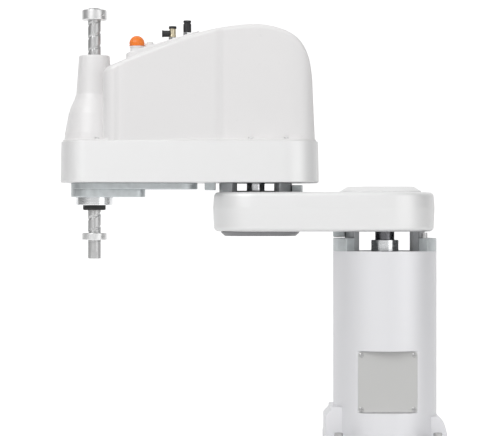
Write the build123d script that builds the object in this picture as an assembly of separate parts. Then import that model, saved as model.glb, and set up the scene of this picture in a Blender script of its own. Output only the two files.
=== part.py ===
from build123d import *
import os
from math import cos, sin, radians

# Four-axis SCARA robot arm, in millimetres. The origin is on joint 1's axis at the underside of
# the foot, Z is up, and the arm reaches out along -X with both arms in line.

# Reach and levels
ARM1_LENGTH = 200.0        # joint 1 axis to joint 2 axis
ARM2_LENGTH = 250.0        # joint 2 axis to the shaft's axis
COLUMN_HEIGHT = 298.0      # foot underside to the column's rim
JOINT1_SPACE = 30.0        # column rim to arm 1
ARM1_HEIGHT = 60.6
JOINT2_SPACE = 14.4        # arm 1 to arm 2
BAND_HEIGHT = 63.5         # cast lower half of arm 2
RUN = 0.3                  # space between faces that turn past each other
JOURNAL = 0.05             # radial clearance of a running shaft
SEAT = 0.2                 # radial clearance of a part in its fixed seat

# Base
COLUMN_R = 80.0
COLUMN_WALL = 10.0
FOOT_HALF = 94.0
FOOT_THICK = 16.0
FOOT_CORNER_R = 20.0
CHEEK_HALF_WIDTH = 42.0
CHEEK_HEIGHT = 45.0
MOUNT_HOLE_R = 4.5
MOUNT_SPACING_X = 112.0
MOUNT_SPACING_Y = 160.0
FOOT_SCREW_SPACING = 150.0
FLAT_DISTANCE = 65.0       # milled flats from the column's axis
SERVICE_Z = 100.0
SERVICE_HEIGHT = 94.0
PANEL_Z = 118.0
PANEL_HEIGHT = 150.0
PANEL_WIDTH = 88.0
PANEL_THICK = 3.0
REDUCER1_R = 61.7
REDUCER1_BODY_R = 49.5
MOTOR1_SIDE = 70.0
MOTOR1_LENGTH = 118.0
SEGMENT_HEIGHT = 20.0      # fixed segments on the column's rim
SEGMENT_INNER_R = 63.5
SEGMENT_HALF_ANGLE = 40.0
SPACER1_INNER_R = 52.0
SPACER_HALF_ANGLE = 38.0
STOP1_R = 71.5
STOP1_PIN_R = 4.5
STOP1_ANGLE = 36.0
STOP_LUG_HALF = 9.0

# Arm 1
ARM1_END_R = 77.0          # round the joint 1 axis
ARM1_TIP_R = 66.0          # round the joint 2 axis
ARM1_WALL = 8.0
ARM1_EDGE_R = 7.0
TOP_COVER_HEIGHT = 8.4
TOP_COVER_LENGTH = 124.0
TOP_COVER_WIDTH = 112.0
LOW_COVER_HEIGHT = 7.0
LOW_COVER_LENGTH = 121.0
LOW_COVER_WIDTH = 104.0
SPACER2_INNER_R = 44.5
SPACER2_R = 56.5
SPACER2_HALF_ANGLE = 50.0
STOP2_INNER_R = 58.0
STOP2_OUTER_R = 73.0
STOP2_HALF_WIDTH = 20.0

# Arm 2
BAND_TIP_HALF = 58.0       # half width at the shaft end
BAND_HEEL_HALF = 68.0      # half width behind joint 2
BAND_TIP_REACH = 51.0      # beyond the shaft's axis
BAND_HEEL_REACH = 97.5     # beyond joint 2's axis
BAND_TIP_R = 45.0
BAND_HEEL_R = 55.0
BAND_WALL = 6.0
BAND_FLOOR = 8.0
BAND_DRAFT = 1.2           # its rim is drawn in by this much
COVER_WALL = 3.0
COVER_FLANGE = 3.0
COVER_HEIGHT = 242.0       # arm 2's underside to the cover's crown
NECK_HEIGHT = 197.3        # arm 2's underside to the nose's neck
NECK_R = 24.0
NECK_WALL = 3.0
HOOD_HALF = 58.0
HOOD_HEEL_HALF = 54.0
HOOD_STEP = 0.8            # the wide part's roof stands this much above the narrow one's
SLOPE_PLATE_X = 51.0       # its low end from the shaft's axis
SLOPE_PLATE_LENGTH = 113.0
SLOPE_PLATE_RISE = 34.5    # over its length
SLOPE_PLATE_HALF = 44.0
SLOPE_PLATE_DROP = 43.8    # its low end below the crown
MOTOR_SIDE = 40.0
MOTOR_LENGTH = 60.0
ENCODER_LENGTH = 20.0
MOTOR2_SIDE = 60.0
MOTOR2_LENGTH = 100.0
ENCODER2_LENGTH = 28.0
REDUCER2_HEIGHT = 26.0
REDUCER2_FLANGE = 8.0
REDUCER2_R = 52.0
REDUCER2_BODY_R = 44.0
HUB2_R = 47.5              # joint 2's output hub in arm 2's floor

# Shaft and its drives
SHAFT_R = 10.0
SHAFT_BORE_R = 7.0
SHAFT_DROP = 117.0         # arm 2's underside to the shaft's lower end
SHAFT_LENGTH = 387.0
TOOL_LENGTH = 26.0         # plain lower end that carries the tool
SCREW_LEAD = 20.0
BALL_R = 2.1
SPLINE_GROOVE_R = 1.6
COLLAR_R = 19.0
UPPER_COLLAR_RISE = 252.2  # above arm 2's underside
UPPER_COLLAR_HEIGHT = 15.5
LOWER_COLLAR_DROP = 88.3   # below arm 2's underside
LOWER_COLLAR_HEIGHT = 11.0
NUT_R = 16.0
SEAL_HEIGHT = 7.5
RING_HEIGHT = 12.5
HOUSING_HEIGHT = 22.0
HOUSING_PLATE = 10.0
HOUSING_PLATE_LENGTH = 132.0
HOUSING_BLOCK_LENGTH = 61.0
HOUSING_BOSS_R = 36.0
SPLINE_PULLEY_R = 30.0
SCREW_PULLEY_R = 25.0
MOTOR_PULLEY_R = 12.0
PULLEY_WIDTH = 12.0
BELT_THICK = 1.6
SHELF_RISE = 65.0          # arm 2's underside to the bearing shelf
SHELF_THICK = 8.0
MOTOR3_X, MOTOR3_Y = 66.0, 28.0      # from the shaft's axis
MOTOR4_X, MOTOR4_Y = 102.0, -26.0    # from the shaft's axis

JOINT2_X = -ARM1_LENGTH
SHAFT_X = -(ARM1_LENGTH + ARM2_LENGTH)
ARM1_Z = COLUMN_HEIGHT + JOINT1_SPACE
ARM1_TOP = ARM1_Z + ARM1_HEIGHT
ARM2_Z = ARM1_TOP + JOINT2_SPACE
SEAM_Z = ARM2_Z + BAND_HEIGHT
FLOOR_Z = ARM2_Z + BAND_FLOOR
HOUSING_Z = ARM2_Z - HOUSING_HEIGHT
RING_Z = HOUSING_Z - RING_HEIGHT
SEAL_Z = RING_Z - SEAL_HEIGHT
SHELF_Z = ARM2_Z + SHELF_RISE
COVER_TOP = ARM2_Z + COVER_HEIGHT
NECK_TOP = ARM2_Z + NECK_HEIGHT
SHAFT_BOTTOM = ARM2_Z - SHAFT_DROP
UPPER_COLLAR_Z = ARM2_Z + UPPER_COLLAR_RISE
LOWER_COLLAR_Z = ARM2_Z - LOWER_COLLAR_DROP
UP = (Align.CENTER, Align.CENTER, Align.MIN)

os.makedirs("parts", exist_ok=True)


def save(name, *solids):
    """Write one node as a STEP file."""
    shape = solids[0] if len(solids) == 1 else Compound(children=list(solids))
    export_step(shape, f"parts/{name}.step")


def disc(radius, low, high, x=0.0, y=0.0):
    """Upright cylinder between two levels."""
    return Pos(x, y, low) * Cylinder(radius, high - low, align=UP)


def tube(outer, inner, low, high, x=0.0, y=0.0):
    """Upright cylinder with a through bore."""
    return disc(outer, low, high, x, y) - disc(inner, low - 1, high + 1, x, y)


def block(x0, x1, y0, y1, low, high):
    """Box between two corners."""
    return Pos((x0 + x1) / 2, (y0 + y1) / 2, low) * Box(x1 - x0, y1 - y0, high - low, align=UP)


def prism(sketch, low, high):
    """Sketch in plan raised between two levels."""
    return extrude(Pos(0, 0, low) * sketch, high - low, dir=(0, 0, 1))


def side_prism(points, half_width, y=0.0):
    """Outline of (x, z) points given a width across Y."""
    outline = Polyline(*[(x, 0, z) for x, z in points], close=True)
    return Pos(0, y, 0) * extrude(make_face(outline), half_width, dir=(0, 1, 0), both=True)


def hull(*circles):
    """Plan outline stretched round circles given as (x, y, radius)."""
    edges = [Pos(x, y) * Circle(r) for x, y, r in circles]
    return make_hull([edge for circle in edges for edge in circle.edges()])


def rounded(x, y, length, width, radius):
    """Rounded rectangle in plan."""
    return Pos(x, y) * RectangleRounded(length, width, radius)


def segment(outer, inner, middle, half_angle, low, high, x=0.0):
    """Part of a ring, centred on an angle in degrees."""
    far = 3 * outer
    corners = [(0, 0)]
    for side in (-1, 1):
        angle = radians(middle + side * half_angle)
        corners.append((far * cos(angle), far * sin(angle)))
    wedge = prism(Pos(x, 0) * Polygon(*corners, align=None), low, high)
    return tube(outer, inner, low, high, x) & wedge


def polar(radius, angle, x=0.0, y=0.0):
    """Plan position at an angle in degrees."""
    return x + radius * cos(radians(angle)), y + radius * sin(radians(angle))


def cap_screw(x, y, seat, head_r, head_height, shank_r, depth):
    """Socket head screw standing on its seat with its shank below."""
    head = disc(head_r, seat, seat + head_height, x, y)
    socket = prism(Pos(x, y) * RegularPolygon(head_r * 0.55, 6), seat + head_height / 2, seat + 2 * head_height)
    return head - socket + disc(shank_r, seat - depth, seat, x, y)


def side_screw(x, y, z, head_r, head_height, outward):
    """Screw head on a milled flat, facing along Y."""
    turn = Pos(x, y, z) * Rot(-90 * outward, 0, 0)
    return turn * (cap_screw(0, 0, 0, head_r, head_height, head_r / 2, head_height))


def toothed_sketch(radius, teeth, x, y, depth=1.2):
    """Plan of a toothed pulley with trapezoid gaps."""
    pitch = 360 / teeth
    wide, narrow = pitch * 0.30, pitch * 0.20
    gaps = []
    for index in range(teeth):
        middle = index * pitch
        corners = [polar(radius + 0.5, middle - wide), polar(radius - depth, middle - narrow),
                   polar(radius - depth, middle + narrow), polar(radius + 0.5, middle + wide)]
        gaps.append(Polygon(*corners, align=None))
    return Pos(x, y) * (Circle(radius) - gaps)


def belt(x0, y0, r0, x1, y1, r1, low, high):
    """Timing belt stretched round two pulleys, a running space off their teeth."""
    outer = hull((x0, y0, r0 + RUN + BELT_THICK), (x1, y1, r1 + RUN + BELT_THICK))
    inner = hull((x0, y0, r0 + RUN), (x1, y1, r1 + RUN))
    return prism(outer - inner, low, high)


def servo(side, length, cap_length, x, y, low, shaft_r):
    """Square servo motor standing on its flange, with its encoder cap above."""
    flange = prism(rounded(x, y, side, side, side * 0.08), low, low + side * 0.12)
    body = prism(rounded(x, y, side * 0.94, side * 0.94, side * 0.2), low + side * 0.12, low + length)
    cap = prism(rounded(x, y, side * 0.86, side * 0.86, side * 0.12), low + length, low + length + cap_length)
    return flange + body + cap - disc(shaft_r + JOURNAL, low - 1, low + side * 0.3, x, y)


# Base


def flat_cut(outward, z, height):
    """Material that a milled flat takes off the column."""
    near, far = sorted((outward * FLAT_DISTANCE, outward * (COLUMN_R + 5)))
    return block(-COLUMN_R, COLUMN_R, near, far, z - height / 2, z + height / 2)


def corner_spots(outward, z, height, width):
    """Four screw places at the corners of a flat panel."""
    y = outward * (FLAT_DISTANCE + PANEL_THICK)
    return [(sx * (width / 2 - 5), y, z + sz * (height / 2 - 6)) for sx in (-1, 1) for sz in (-1, 1)]


def base_column():
    """Cast column with its foot, milled flats and reducer seat."""
    body = disc(COLUMN_R, 0, COLUMN_HEIGHT)
    body += prism(rounded(0, 0, 2 * FOOT_HALF, 2 * FOOT_HALF, FOOT_CORNER_R), 0, FOOT_THICK)
    curve = EllipticalCenterArc((COLUMN_R - 2, 0), FOOT_HALF - COLUMN_R + 2, CHEEK_HEIGHT, start_angle=0, arc_size=90)
    rib = make_face(curve + Polyline(curve @ 1, (0, CHEEK_HEIGHT), (0, 0), curve @ 0))
    body += extrude(Plane.XZ * rib, CHEEK_HALF_WIDTH, both=True)
    step = FOOT_HALF - COLUMN_R
    body += side_prism([(0, 0), (-FOOT_HALF, 0), (-FOOT_HALF, CHEEK_HEIGHT + 1),
                        (-FOOT_HALF + 0.6 * step, CHEEK_HEIGHT + 10), (-FOOT_HALF + 0.6 * step, CHEEK_HEIGHT + 15),
                        (0, CHEEK_HEIGHT + 15)], CHEEK_HALF_WIDTH)
    shaft_space = disc(COLUMN_R - COLUMN_WALL, -1, ledge_z() - 14)
    for outward, z, height in ((-1, SERVICE_Z, SERVICE_HEIGHT), (1, PANEL_Z, PANEL_HEIGHT)):
        near, far = sorted((outward * (FLAT_DISTANCE - 6), outward * COLUMN_R))
        shaft_space -= block(-52, 52, near, far, z - height / 2 - 8, z + height / 2 + 8)
    body -= shaft_space
    body -= disc(REDUCER1_BODY_R + SEAT, ledge_z() - 15, COLUMN_HEIGHT)
    body -= disc(REDUCER1_R + RUN, ledge_z(), COLUMN_HEIGHT + 1)
    for outward, z, height, width in ((-1, SERVICE_Z, SERVICE_HEIGHT, 90), (1, PANEL_Z, PANEL_HEIGHT, PANEL_WIDTH)):
        body -= flat_cut(outward, z, height)
        near, far = sorted((outward * (FLAT_DISTANCE - 8), outward * COLUMN_R))
        body -= block(-36, 36, near, far, z - height / 2 + 13, z + height / 2 - 13)
        for x, _, spot in corner_spots(outward, z, height, width):
            body -= Pos(x, outward * (FLAT_DISTANCE + 10), spot) * Rot(90, 0, 0) * Cylinder(6, 20)
            body -= Pos(x, outward * FLAT_DISTANCE, spot) * Rot(90, 0, 0) * Cylinder(2, 12)
    for sx in (-1, 1):
        for sy in (-1, 1):
            body -= disc(MOUNT_HOLE_R, -1, FOOT_THICK + 1, sx * MOUNT_SPACING_X / 2, sy * MOUNT_SPACING_Y / 2)
            body -= disc(4.1, FOOT_THICK - 12, FOOT_THICK + 1, sx * FOOT_SCREW_SPACING / 2, sy * FOOT_SCREW_SPACING / 2)
    return body


def ledge_z():
    """Level of the reducer's seat in the column."""
    return COLUMN_HEIGHT - 14


def panel(outward, z, height, width, openings):
    """Flat plate on a milled flat, with clear corners and its openings cut."""
    near, far = sorted((outward * FLAT_DISTANCE, outward * (FLAT_DISTANCE + PANEL_THICK)))
    plate = block(-width / 2, width / 2, near, far, z - height / 2 + 1, z + height / 2 - 1)
    plate = fillet(plate.edges().filter_by(Axis.Y), 4)
    for x, _, spot in corner_spots(outward, z, height, width):
        plate -= Pos(x, outward * FLAT_DISTANCE, spot) * Rot(90, 0, 0) * Cylinder(2, 12)
    return plate - openings if openings else plate


def panel_screws(outward, z, height, width):
    """Four screws of a flat panel."""
    return [side_screw(x, y, spot, 3.5, 3, outward) for x, y, spot in corner_spots(outward, z, height, width)]


def socket_shape(x, z, radius, width, height, depth, outward, grow=0.0):
    """Round or square connector body through the rear panel."""
    y = outward * (FLAT_DISTANCE + PANEL_THICK)
    if radius:
        body = Cylinder(radius + grow, depth)
    else:
        body = Box(width + 2 * grow, height + 2 * grow, depth)
    return Pos(x, y, z) * Rot(90, 0, 0) * body


CONNECTORS = [
    ("power_connector", -20.0, PANEL_Z + 40, 15.0, 0, 0),
    ("signal_connector", 19.0, PANEL_Z + 40, 0, 32.0, 22.0),
    ("user_connector", -18.0, PANEL_Z + 4, 0, 34.0, 12.0),
]
FITTING_PLACES = [(-24.0, PANEL_Z - 40), (-4.0, PANEL_Z - 40), (16.0, PANEL_Z - 40)]


def connector(x, z, radius, width, height):
    """Connector shell with its cavity open to the rear."""
    shell = socket_shape(x, z, radius, width, height, 28, 1)
    cavity_r = radius - 3 if radius else 0
    return shell - Pos(0, 10, 0) * socket_shape(x, z, cavity_r, width - 5, height - 5, 20, 1)


def tube_fitting(x, z):
    """Straight push-in air fitting on the rear panel."""
    y = FLAT_DISTANCE + PANEL_THICK
    turn = Pos(x, y, z) * Rot(-90, 0, 0)
    hexagon = prism(RegularPolygon(7, 6), 0, 6)
    sleeve = disc(5.5, 6, 20)
    return turn * (hexagon + sleeve + disc(4, -8, 0) - disc(3, 8, 21))


def make_base():
    """Write the nodes that stand still."""
    save("base_column", base_column())
    half = FOOT_SCREW_SPACING / 2
    save("foot_screws", *[cap_screw(sx * half, sy * half, FOOT_THICK, 6.5, 8, 4, 11) for sx in (-1, 1) for sy in (-1, 1)])
    save("service_cover", panel(-1, SERVICE_Z, SERVICE_HEIGHT, 90, None))
    holes = [socket_shape(x, z, r, w, h, 30, 1, SEAT) for _, x, z, r, w, h in CONNECTORS]
    holes += [Pos(x, FLAT_DISTANCE + 2, z) * Rot(90, 0, 0) * Cylinder(4 + SEAT, 30) for x, z in FITTING_PLACES]
    save("connector_panel", panel(1, PANEL_Z, PANEL_HEIGHT, PANEL_WIDTH, holes))
    save("column_panel_screws", *panel_screws(-1, SERVICE_Z, SERVICE_HEIGHT, 90),
         *panel_screws(1, PANEL_Z, PANEL_HEIGHT, PANEL_WIDTH))
    for name, x, z, r, w, h in CONNECTORS:
        save(name, connector(x, z, r, w, h))
    save("base_air_fittings", *[tube_fitting(x, z) for x, z in FITTING_PLACES])

    seat = ledge_z()
    flange_top = seat + 5
    bearing_top = flange_top + 4.3
    reducer_low = seat - 44
    save("joint1_reducer", disc(REDUCER1_R, seat, flange_top) + disc(REDUCER1_BODY_R, reducer_low, seat))
    save("joint1_bearing", tube(REDUCER1_R, REDUCER1_BODY_R + JOURNAL, flange_top, bearing_top))
    motor_low = reducer_low - MOTOR1_LENGTH
    body = prism(rounded(0, 0, MOTOR1_SIDE, MOTOR1_SIDE, 6), reducer_low - 10, reducer_low)
    body += prism(rounded(0, 0, MOTOR1_SIDE * 0.94, MOTOR1_SIDE * 0.94, 14), motor_low + 30, reducer_low - 10)
    body += prism(rounded(0, 0, MOTOR1_SIDE * 0.8, MOTOR1_SIDE * 0.8, 8), motor_low, motor_low + 30)
    save("joint1_motor", body)

    segment_top = COLUMN_HEIGHT + SEGMENT_HEIGHT
    segments = []
    pins = []
    for middle in (0, 180):
        piece = segment(COLUMN_R, SEGMENT_INNER_R, middle, SEGMENT_HALF_ANGLE, COLUMN_HEIGHT, segment_top)
        segments.append(piece)
    for side in (-1, 1):
        x, y = polar(STOP1_R, side * STOP1_ANGLE)
        pins.append(disc(STOP1_PIN_R, segment_top - 8, ARM1_Z - 1.5, x, y))
        segments[0] -= disc(STOP1_PIN_R, segment_top - 8, segment_top + 1, x, y)
    save("column_rim_segments", *segments)
    save("joint1_stop_pins", *pins)

    # Arm 1 side of joint 1
    hub_low = flange_top + RUN
    plate_low = bearing_top + RUN
    plate_top = COLUMN_HEIGHT - 0.6
    flange = disc(REDUCER1_BODY_R, hub_low, plate_low) + disc(REDUCER1_R, plate_low, plate_top)
    for middle in (0, 180):
        flange += segment(REDUCER1_R, SPACER1_INNER_R, middle, SPACER_HALF_ANGLE, plate_top, ARM1_Z)
    save("joint1_output_flange", flange)
    save("joint1_hub_collar", tube(21.5, 10, plate_top, ARM1_Z - 13))
    save("joint1_cable_tube", tube(15, 10, ARM1_Z - 13, ARM1_Z))
    lug = block(-COLUMN_R, -COLUMN_R + 2 * STOP_LUG_HALF, -STOP_LUG_HALF, STOP_LUG_HALF, segment_top + 1.5, ARM1_Z)
    save("joint1_stop_lug", chamfer(lug.edges().filter_by(Axis.Z), 3))


# Arm 1


def arm1_plan(inset=0.0):
    """Tapered stadium from joint 1 to joint 2."""
    return hull((0, 0, ARM1_END_R - inset), (JOINT2_X, 0, ARM1_TIP_R - inset))


def shallow_cover(x, length, width, radius, low, height, slope, wall, down):
    """Low cover with sloped edges, hollow on the side that meets the arm."""
    def skin(inset, depth):
        wide = rounded(x, 0, length - 2 * inset, width - 2 * inset, radius - inset)
        small = rounded(x, 0, length - 2 * slope - 2 * inset, width - 2 * slope - 2 * inset, radius - slope)
        start, end = (low, low + depth) if not down else (low + height, low + height - depth)
        return loft([Pos(0, 0, start) * wide, Pos(0, 0, end) * small])
    return skin(0, height) - skin(wall, height - wall)


def arm1_cover_x():
    """Centres of the top and bottom covers of arm 1."""
    return -7.0, JOINT2_X + 7.0


def make_arm1():
    """Write arm 1's casting, covers and its side of joint 2."""
    top_x, low_x = arm1_cover_x()
    casting = prism(arm1_plan(), ARM1_Z, ARM1_TOP)
    rims = casting.edges().group_by(Axis.Z)[0] + casting.edges().group_by(Axis.Z)[-1]
    casting = fillet(rims, ARM1_EDGE_R)
    cavity = prism(arm1_plan(ARM1_WALL), ARM1_Z + ARM1_WALL, ARM1_TOP - ARM1_WALL)
    for y in (-22, 22):
        cavity -= block(JOINT2_X + 20, -20, y - 2.5, y + 2.5, ARM1_Z, ARM1_TOP)
    casting -= cavity
    casting -= prism(rounded(top_x, 0, 86, 70, 20), ARM1_TOP - ARM1_WALL - 1, ARM1_TOP + 1)
    casting -= prism(rounded(low_x, 0, 84, 66, 20), ARM1_Z - 1, ARM1_Z + ARM1_WALL + 1)
    casting -= disc(10, ARM1_Z - 1, ARM1_Z + ARM1_WALL + 1)
    casting -= disc(9, ARM1_TOP - ARM1_WALL - 1, ARM1_TOP + 1, JOINT2_X)
    save("arm1_casting", casting)
    save("arm1_top_cover", shallow_cover(top_x, TOP_COVER_LENGTH, TOP_COVER_WIDTH, 40, ARM1_TOP, TOP_COVER_HEIGHT, 11, 2.5, False))
    low = ARM1_Z - LOW_COVER_HEIGHT
    save("arm1_bottom_cover", shallow_cover(low_x, LOW_COVER_LENGTH, LOW_COVER_WIDTH, 36, low, LOW_COVER_HEIGHT, 6, 2.5, True))

    save("joint2_seal_plate", tube(SPACER2_INNER_R - 1, 14 + SEAT, ARM1_TOP, ARM1_TOP + 2, JOINT2_X))
    flange_low = ARM2_Z - 2 * RUN
    spacer = disc(HUB2_R, flange_low, FLOOR_Z - RUN, JOINT2_X)
    for middle in (0, 180):
        spacer += segment(SPACER2_R, SPACER2_INNER_R, middle, SPACER2_HALF_ANGLE, ARM1_TOP, flange_low, JOINT2_X)
    save("joint2_output_flange", spacer)
    save("joint2_cable_tube", tube(14, 9, ARM1_TOP, flange_low, JOINT2_X))
    stop = block(JOINT2_X + STOP2_INNER_R - 10, JOINT2_X + STOP2_OUTER_R, -STOP2_HALF_WIDTH, STOP2_HALF_WIDTH, ARM1_TOP, ARM2_Z - 3.5)
    stop -= disc(STOP2_INNER_R, ARM1_TOP - 1, ARM2_Z, JOINT2_X)
    save("joint2_stop_block", stop)


# Arm 2


def band_plan(inset=0.0):
    """Plan of the cast lower half of arm 2."""
    tip_x = SHAFT_X - BAND_TIP_REACH + BAND_TIP_R
    heel_x = JOINT2_X + BAND_HEEL_REACH - BAND_HEEL_R
    circles = []
    for side in (-1, 1):
        circles.append((tip_x, side * (BAND_TIP_HALF - BAND_TIP_R), BAND_TIP_R - inset))
        circles.append((heel_x, side * (BAND_HEEL_HALF - BAND_HEEL_R), BAND_HEEL_R - inset))
    return hull(*circles)


def housing_plan(grow=0.0):
    """Plan of the shaft housing's deep block under arm 2."""
    return hull((SHAFT_X, 0, HOUSING_BOSS_R + grow), (SHAFT_X + HOUSING_BLOCK_LENGTH, 0, HOUSING_BOSS_R / 2 + grow))


def cover_screw_places():
    """Screw places on the flange that runs round the cover."""
    places = [(SHAFT_X + 8, side * (BAND_TIP_HALF - 8)) for side in (-1, 1)]
    places += [(JOINT2_X - 8, side * (BAND_HEEL_HALF - 9)) for side in (-1, 1)]
    places += [(JOINT2_X + 46, side * (BAND_HEEL_HALF - 8)) for side in (-1, 1)]
    return places


def make_band():
    """Write arm 2's lower casting and the screws that hold its cover."""
    casting = loft([Pos(0, 0, ARM2_Z) * band_plan(), Pos(0, 0, SEAM_Z) * band_plan(BAND_DRAFT)])
    casting = fillet(casting.edges().group_by(Axis.Z)[0], 2.5)
    casting -= prism(band_plan(BAND_WALL + BAND_DRAFT), FLOOR_Z, SEAM_Z + 1)
    for x, y in cover_screw_places():
        bridge = prism(band_plan(BAND_DRAFT + 1), FLOOR_Z - 1, SEAM_Z) & disc(6, FLOOR_Z - 1, SEAM_Z, x, y)
        casting += bridge
        casting -= disc(2, SEAM_Z - 12, SEAM_Z + 1, x, y)
    casting -= disc(HUB2_R + RUN, ARM2_Z - 1, FLOOR_Z + 1, JOINT2_X)
    casting -= disc(NUT_R + 10 + SEAT, ARM2_Z - 1, FLOOR_Z + 1, SHAFT_X)
    save("arm2_casting", casting)
    save("arm2_cover_screws", *[cap_screw(x, y, SEAM_Z + COVER_FLANGE, 3.5, 2.4, 1.9, 11) for x, y in cover_screw_places()])


def hood_side(drop, floor):
    """Side view of the cover's hood, its roof lowered and its heel drawn in by drop."""
    heel = JOINT2_X + BAND_HEEL_REACH - 6.5 - drop
    top = COVER_TOP - drop
    crown = (JOINT2_X - 1, 0, top)
    shoulder = (heel - 22, 0, COVER_TOP - 26 - 0.7 * drop)
    wall = Line((heel, 0, floor), (heel - 4, 0, COVER_TOP - 89))
    round_end = Spline(wall @ 1, shoulder, crown, tangents=[(-0.045, 0, 1), (-1, 0, 0)])
    tip = (SHAFT_X - 10, 0, COVER_TOP - 79 - drop)
    slope = Spline(crown, (SHAFT_X + 102, 0, COVER_TOP - 31 - drop), tip, tangents=[(-1, 0, 0), (-1, 0, -0.42)])
    back = Polyline(tip, (tip[0], 0, floor), (heel, 0, floor))
    return make_face([wall, round_end, slope] + back.edges())


def hood_prism(half_width, drop, floor, edge_r):
    """Hood of one width, with rounded edges along its roof and heel."""
    body = extrude(hood_side(drop, floor), half_width, dir=(0, 1, 0), both=True)
    if edge_r:
        rims = [e for e in body.edges() if abs(abs(e.center().Y) - half_width) < 0.01
                and e.center().Z > floor + 5 and e.center().X > SHAFT_X - 8]
        body = fillet(rims, edge_r)
    return body


def hood(inset, floor):
    """Wide hood over the drives joined to a narrower one over joint 2."""
    wide, narrow = HOOD_HALF - inset, HOOD_HEEL_HALF - inset
    edge_r = 14 - inset
    left = SHAFT_X + 16 + inset
    step = JOINT2_X - 62
    middle_plan = Polygon((left, -wide), (step, -wide), (step + 22, -narrow), (step + 22, narrow),
                          (step, wide), (left, wide), align=None)
    corners = [v for v in middle_plan.vertices() if abs(v.X - left) < 0.01]
    middle = prism(fillet(corners, 20 - inset), floor, COVER_TOP + 9) & hood_prism(wide, inset - HOOD_STEP, floor, edge_r)
    heel = JOINT2_X + BAND_HEEL_REACH
    heel_plan = Polygon((step - 30, -narrow), (heel, -narrow), (heel, narrow), (step - 30, narrow), align=None)
    corners = [v for v in heel_plan.vertices() if abs(v.X - heel) < 0.01]
    rear = prism(fillet(corners, 44 - inset), floor, COVER_TOP + 1) & hood_prism(narrow, inset, floor, edge_r)
    return middle + rear


def nose(inset, floor, top):
    """Bottle-shaped nose round the shaft, turned about the shaft's axis."""
    shoulder = SEAM_Z + 53
    points = [(0, floor), (BAND_TIP_REACH - 4.4 - inset, floor), (39 - inset, shoulder), (33 - inset, shoulder + 3),
              (NECK_R + 5 - inset, shoulder + 10), (NECK_R + 3 - inset, shoulder + 18), (NECK_R - inset, top), (0, top)]
    outline = make_face(Polyline(*[(x, 0, z) for x, z in points], close=True))
    return Pos(SHAFT_X, 0, 0) * revolve(outline, Axis.Z)


def make_cover():
    """Write arm 2's cover and the plate of lamp, button and fittings on its slope."""
    outer_hood = hood(0, SEAM_Z)
    shell = outer_hood + nose(0, SEAM_Z, NECK_TOP)
    shell += prism(band_plan(4), SEAM_Z, SEAM_Z + COVER_FLANGE)
    shell -= hood(COVER_WALL, SEAM_Z - 1)
    shell -= nose(NECK_WALL, SEAM_Z - 1, NECK_TOP - NECK_WALL)
    shell -= disc(SHAFT_R + 2, SEAM_Z, NECK_TOP + 1, SHAFT_X)
    for x, y in cover_screw_places():
        shell -= disc(2.1, SEAM_Z - 1, SEAM_Z + COVER_FLANGE + 1, x, y)
    save("arm2_cover", shell)

    start = SHAFT_X + SLOPE_PLATE_X
    end = start + SLOPE_PLATE_LENGTH
    rise = SLOPE_PLATE_RISE / SLOPE_PLATE_LENGTH
    plate_low = COVER_TOP - SLOPE_PLATE_DROP
    top = side_prism([(start, plate_low - 40), (start, plate_low), (end, plate_low + SLOPE_PLATE_RISE),
                      (end, plate_low - 40)], SLOPE_PLATE_HALF)
    corners = rounded((start + end) / 2, 0, SLOPE_PLATE_LENGTH, 2 * SLOPE_PLATE_HALF, 12)
    top &= prism(corners, SEAM_Z, COVER_TOP)
    plate = top - outer_hood - prism(corners, SEAM_Z - 1, plate_low - 39)
    save("fitting_plate", plate)

    def plate_z(x):
        return plate_low + rise * (x - start)

    lamp_x = SHAFT_X + 66
    seat = plate_z(lamp_x) - 3
    base = tube(10.5, 6, seat, seat + 12.5, lamp_x) - top
    save("lamp_base", base)
    dome_z = seat + 12.5
    dome = disc(12, dome_z, dome_z + 4, lamp_x) + (Pos(lamp_x, 0, dome_z + 4) * Sphere(12)) - block(lamp_x - 13, lamp_x + 13, -13, 13, 0, dome_z)
    save("lamp_lens", dome)

    button_x = SHAFT_X + 86
    seat = plate_z(button_x)
    housing = tube(8, 5 + RUN, seat - 4, seat + 7, button_x) - top
    save("brake_button_housing", housing)
    save("brake_release_button", disc(5, plate_z(button_x + 5) + 2.2, seat + 9.5, button_x))

    elbow_x = SHAFT_X + 121
    seat = plate_z(elbow_x)
    elbow_nut = prism(Pos(elbow_x, 8) * RegularPolygon(7, 6), seat - 4, seat + 7) - top
    save("elbow_fitting", disc(5.5, seat + 7, seat + 20, elbow_x, 8))
    arm = Pos(elbow_x - 9, 8, seat + 12.5) * Rot(0, 90, 0) * (Cylinder(5, 14) - Cylinder(3, 15))
    save("elbow_outlet", arm - disc(5.5, seat, seat + 25, elbow_x, 8), disc(6, seat + 20, seat + 24, elbow_x, 8))

    black_x = SHAFT_X + 144
    seat = plate_z(black_x)
    straight_nut = prism(Pos(black_x, 0) * RegularPolygon(7, 6), seat - 4, seat + 7) - top
    save("fitting_nuts", elbow_nut, straight_nut)
    save("straight_fitting", tube(6.2, 3, seat + 7, seat + 25, black_x))


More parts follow.
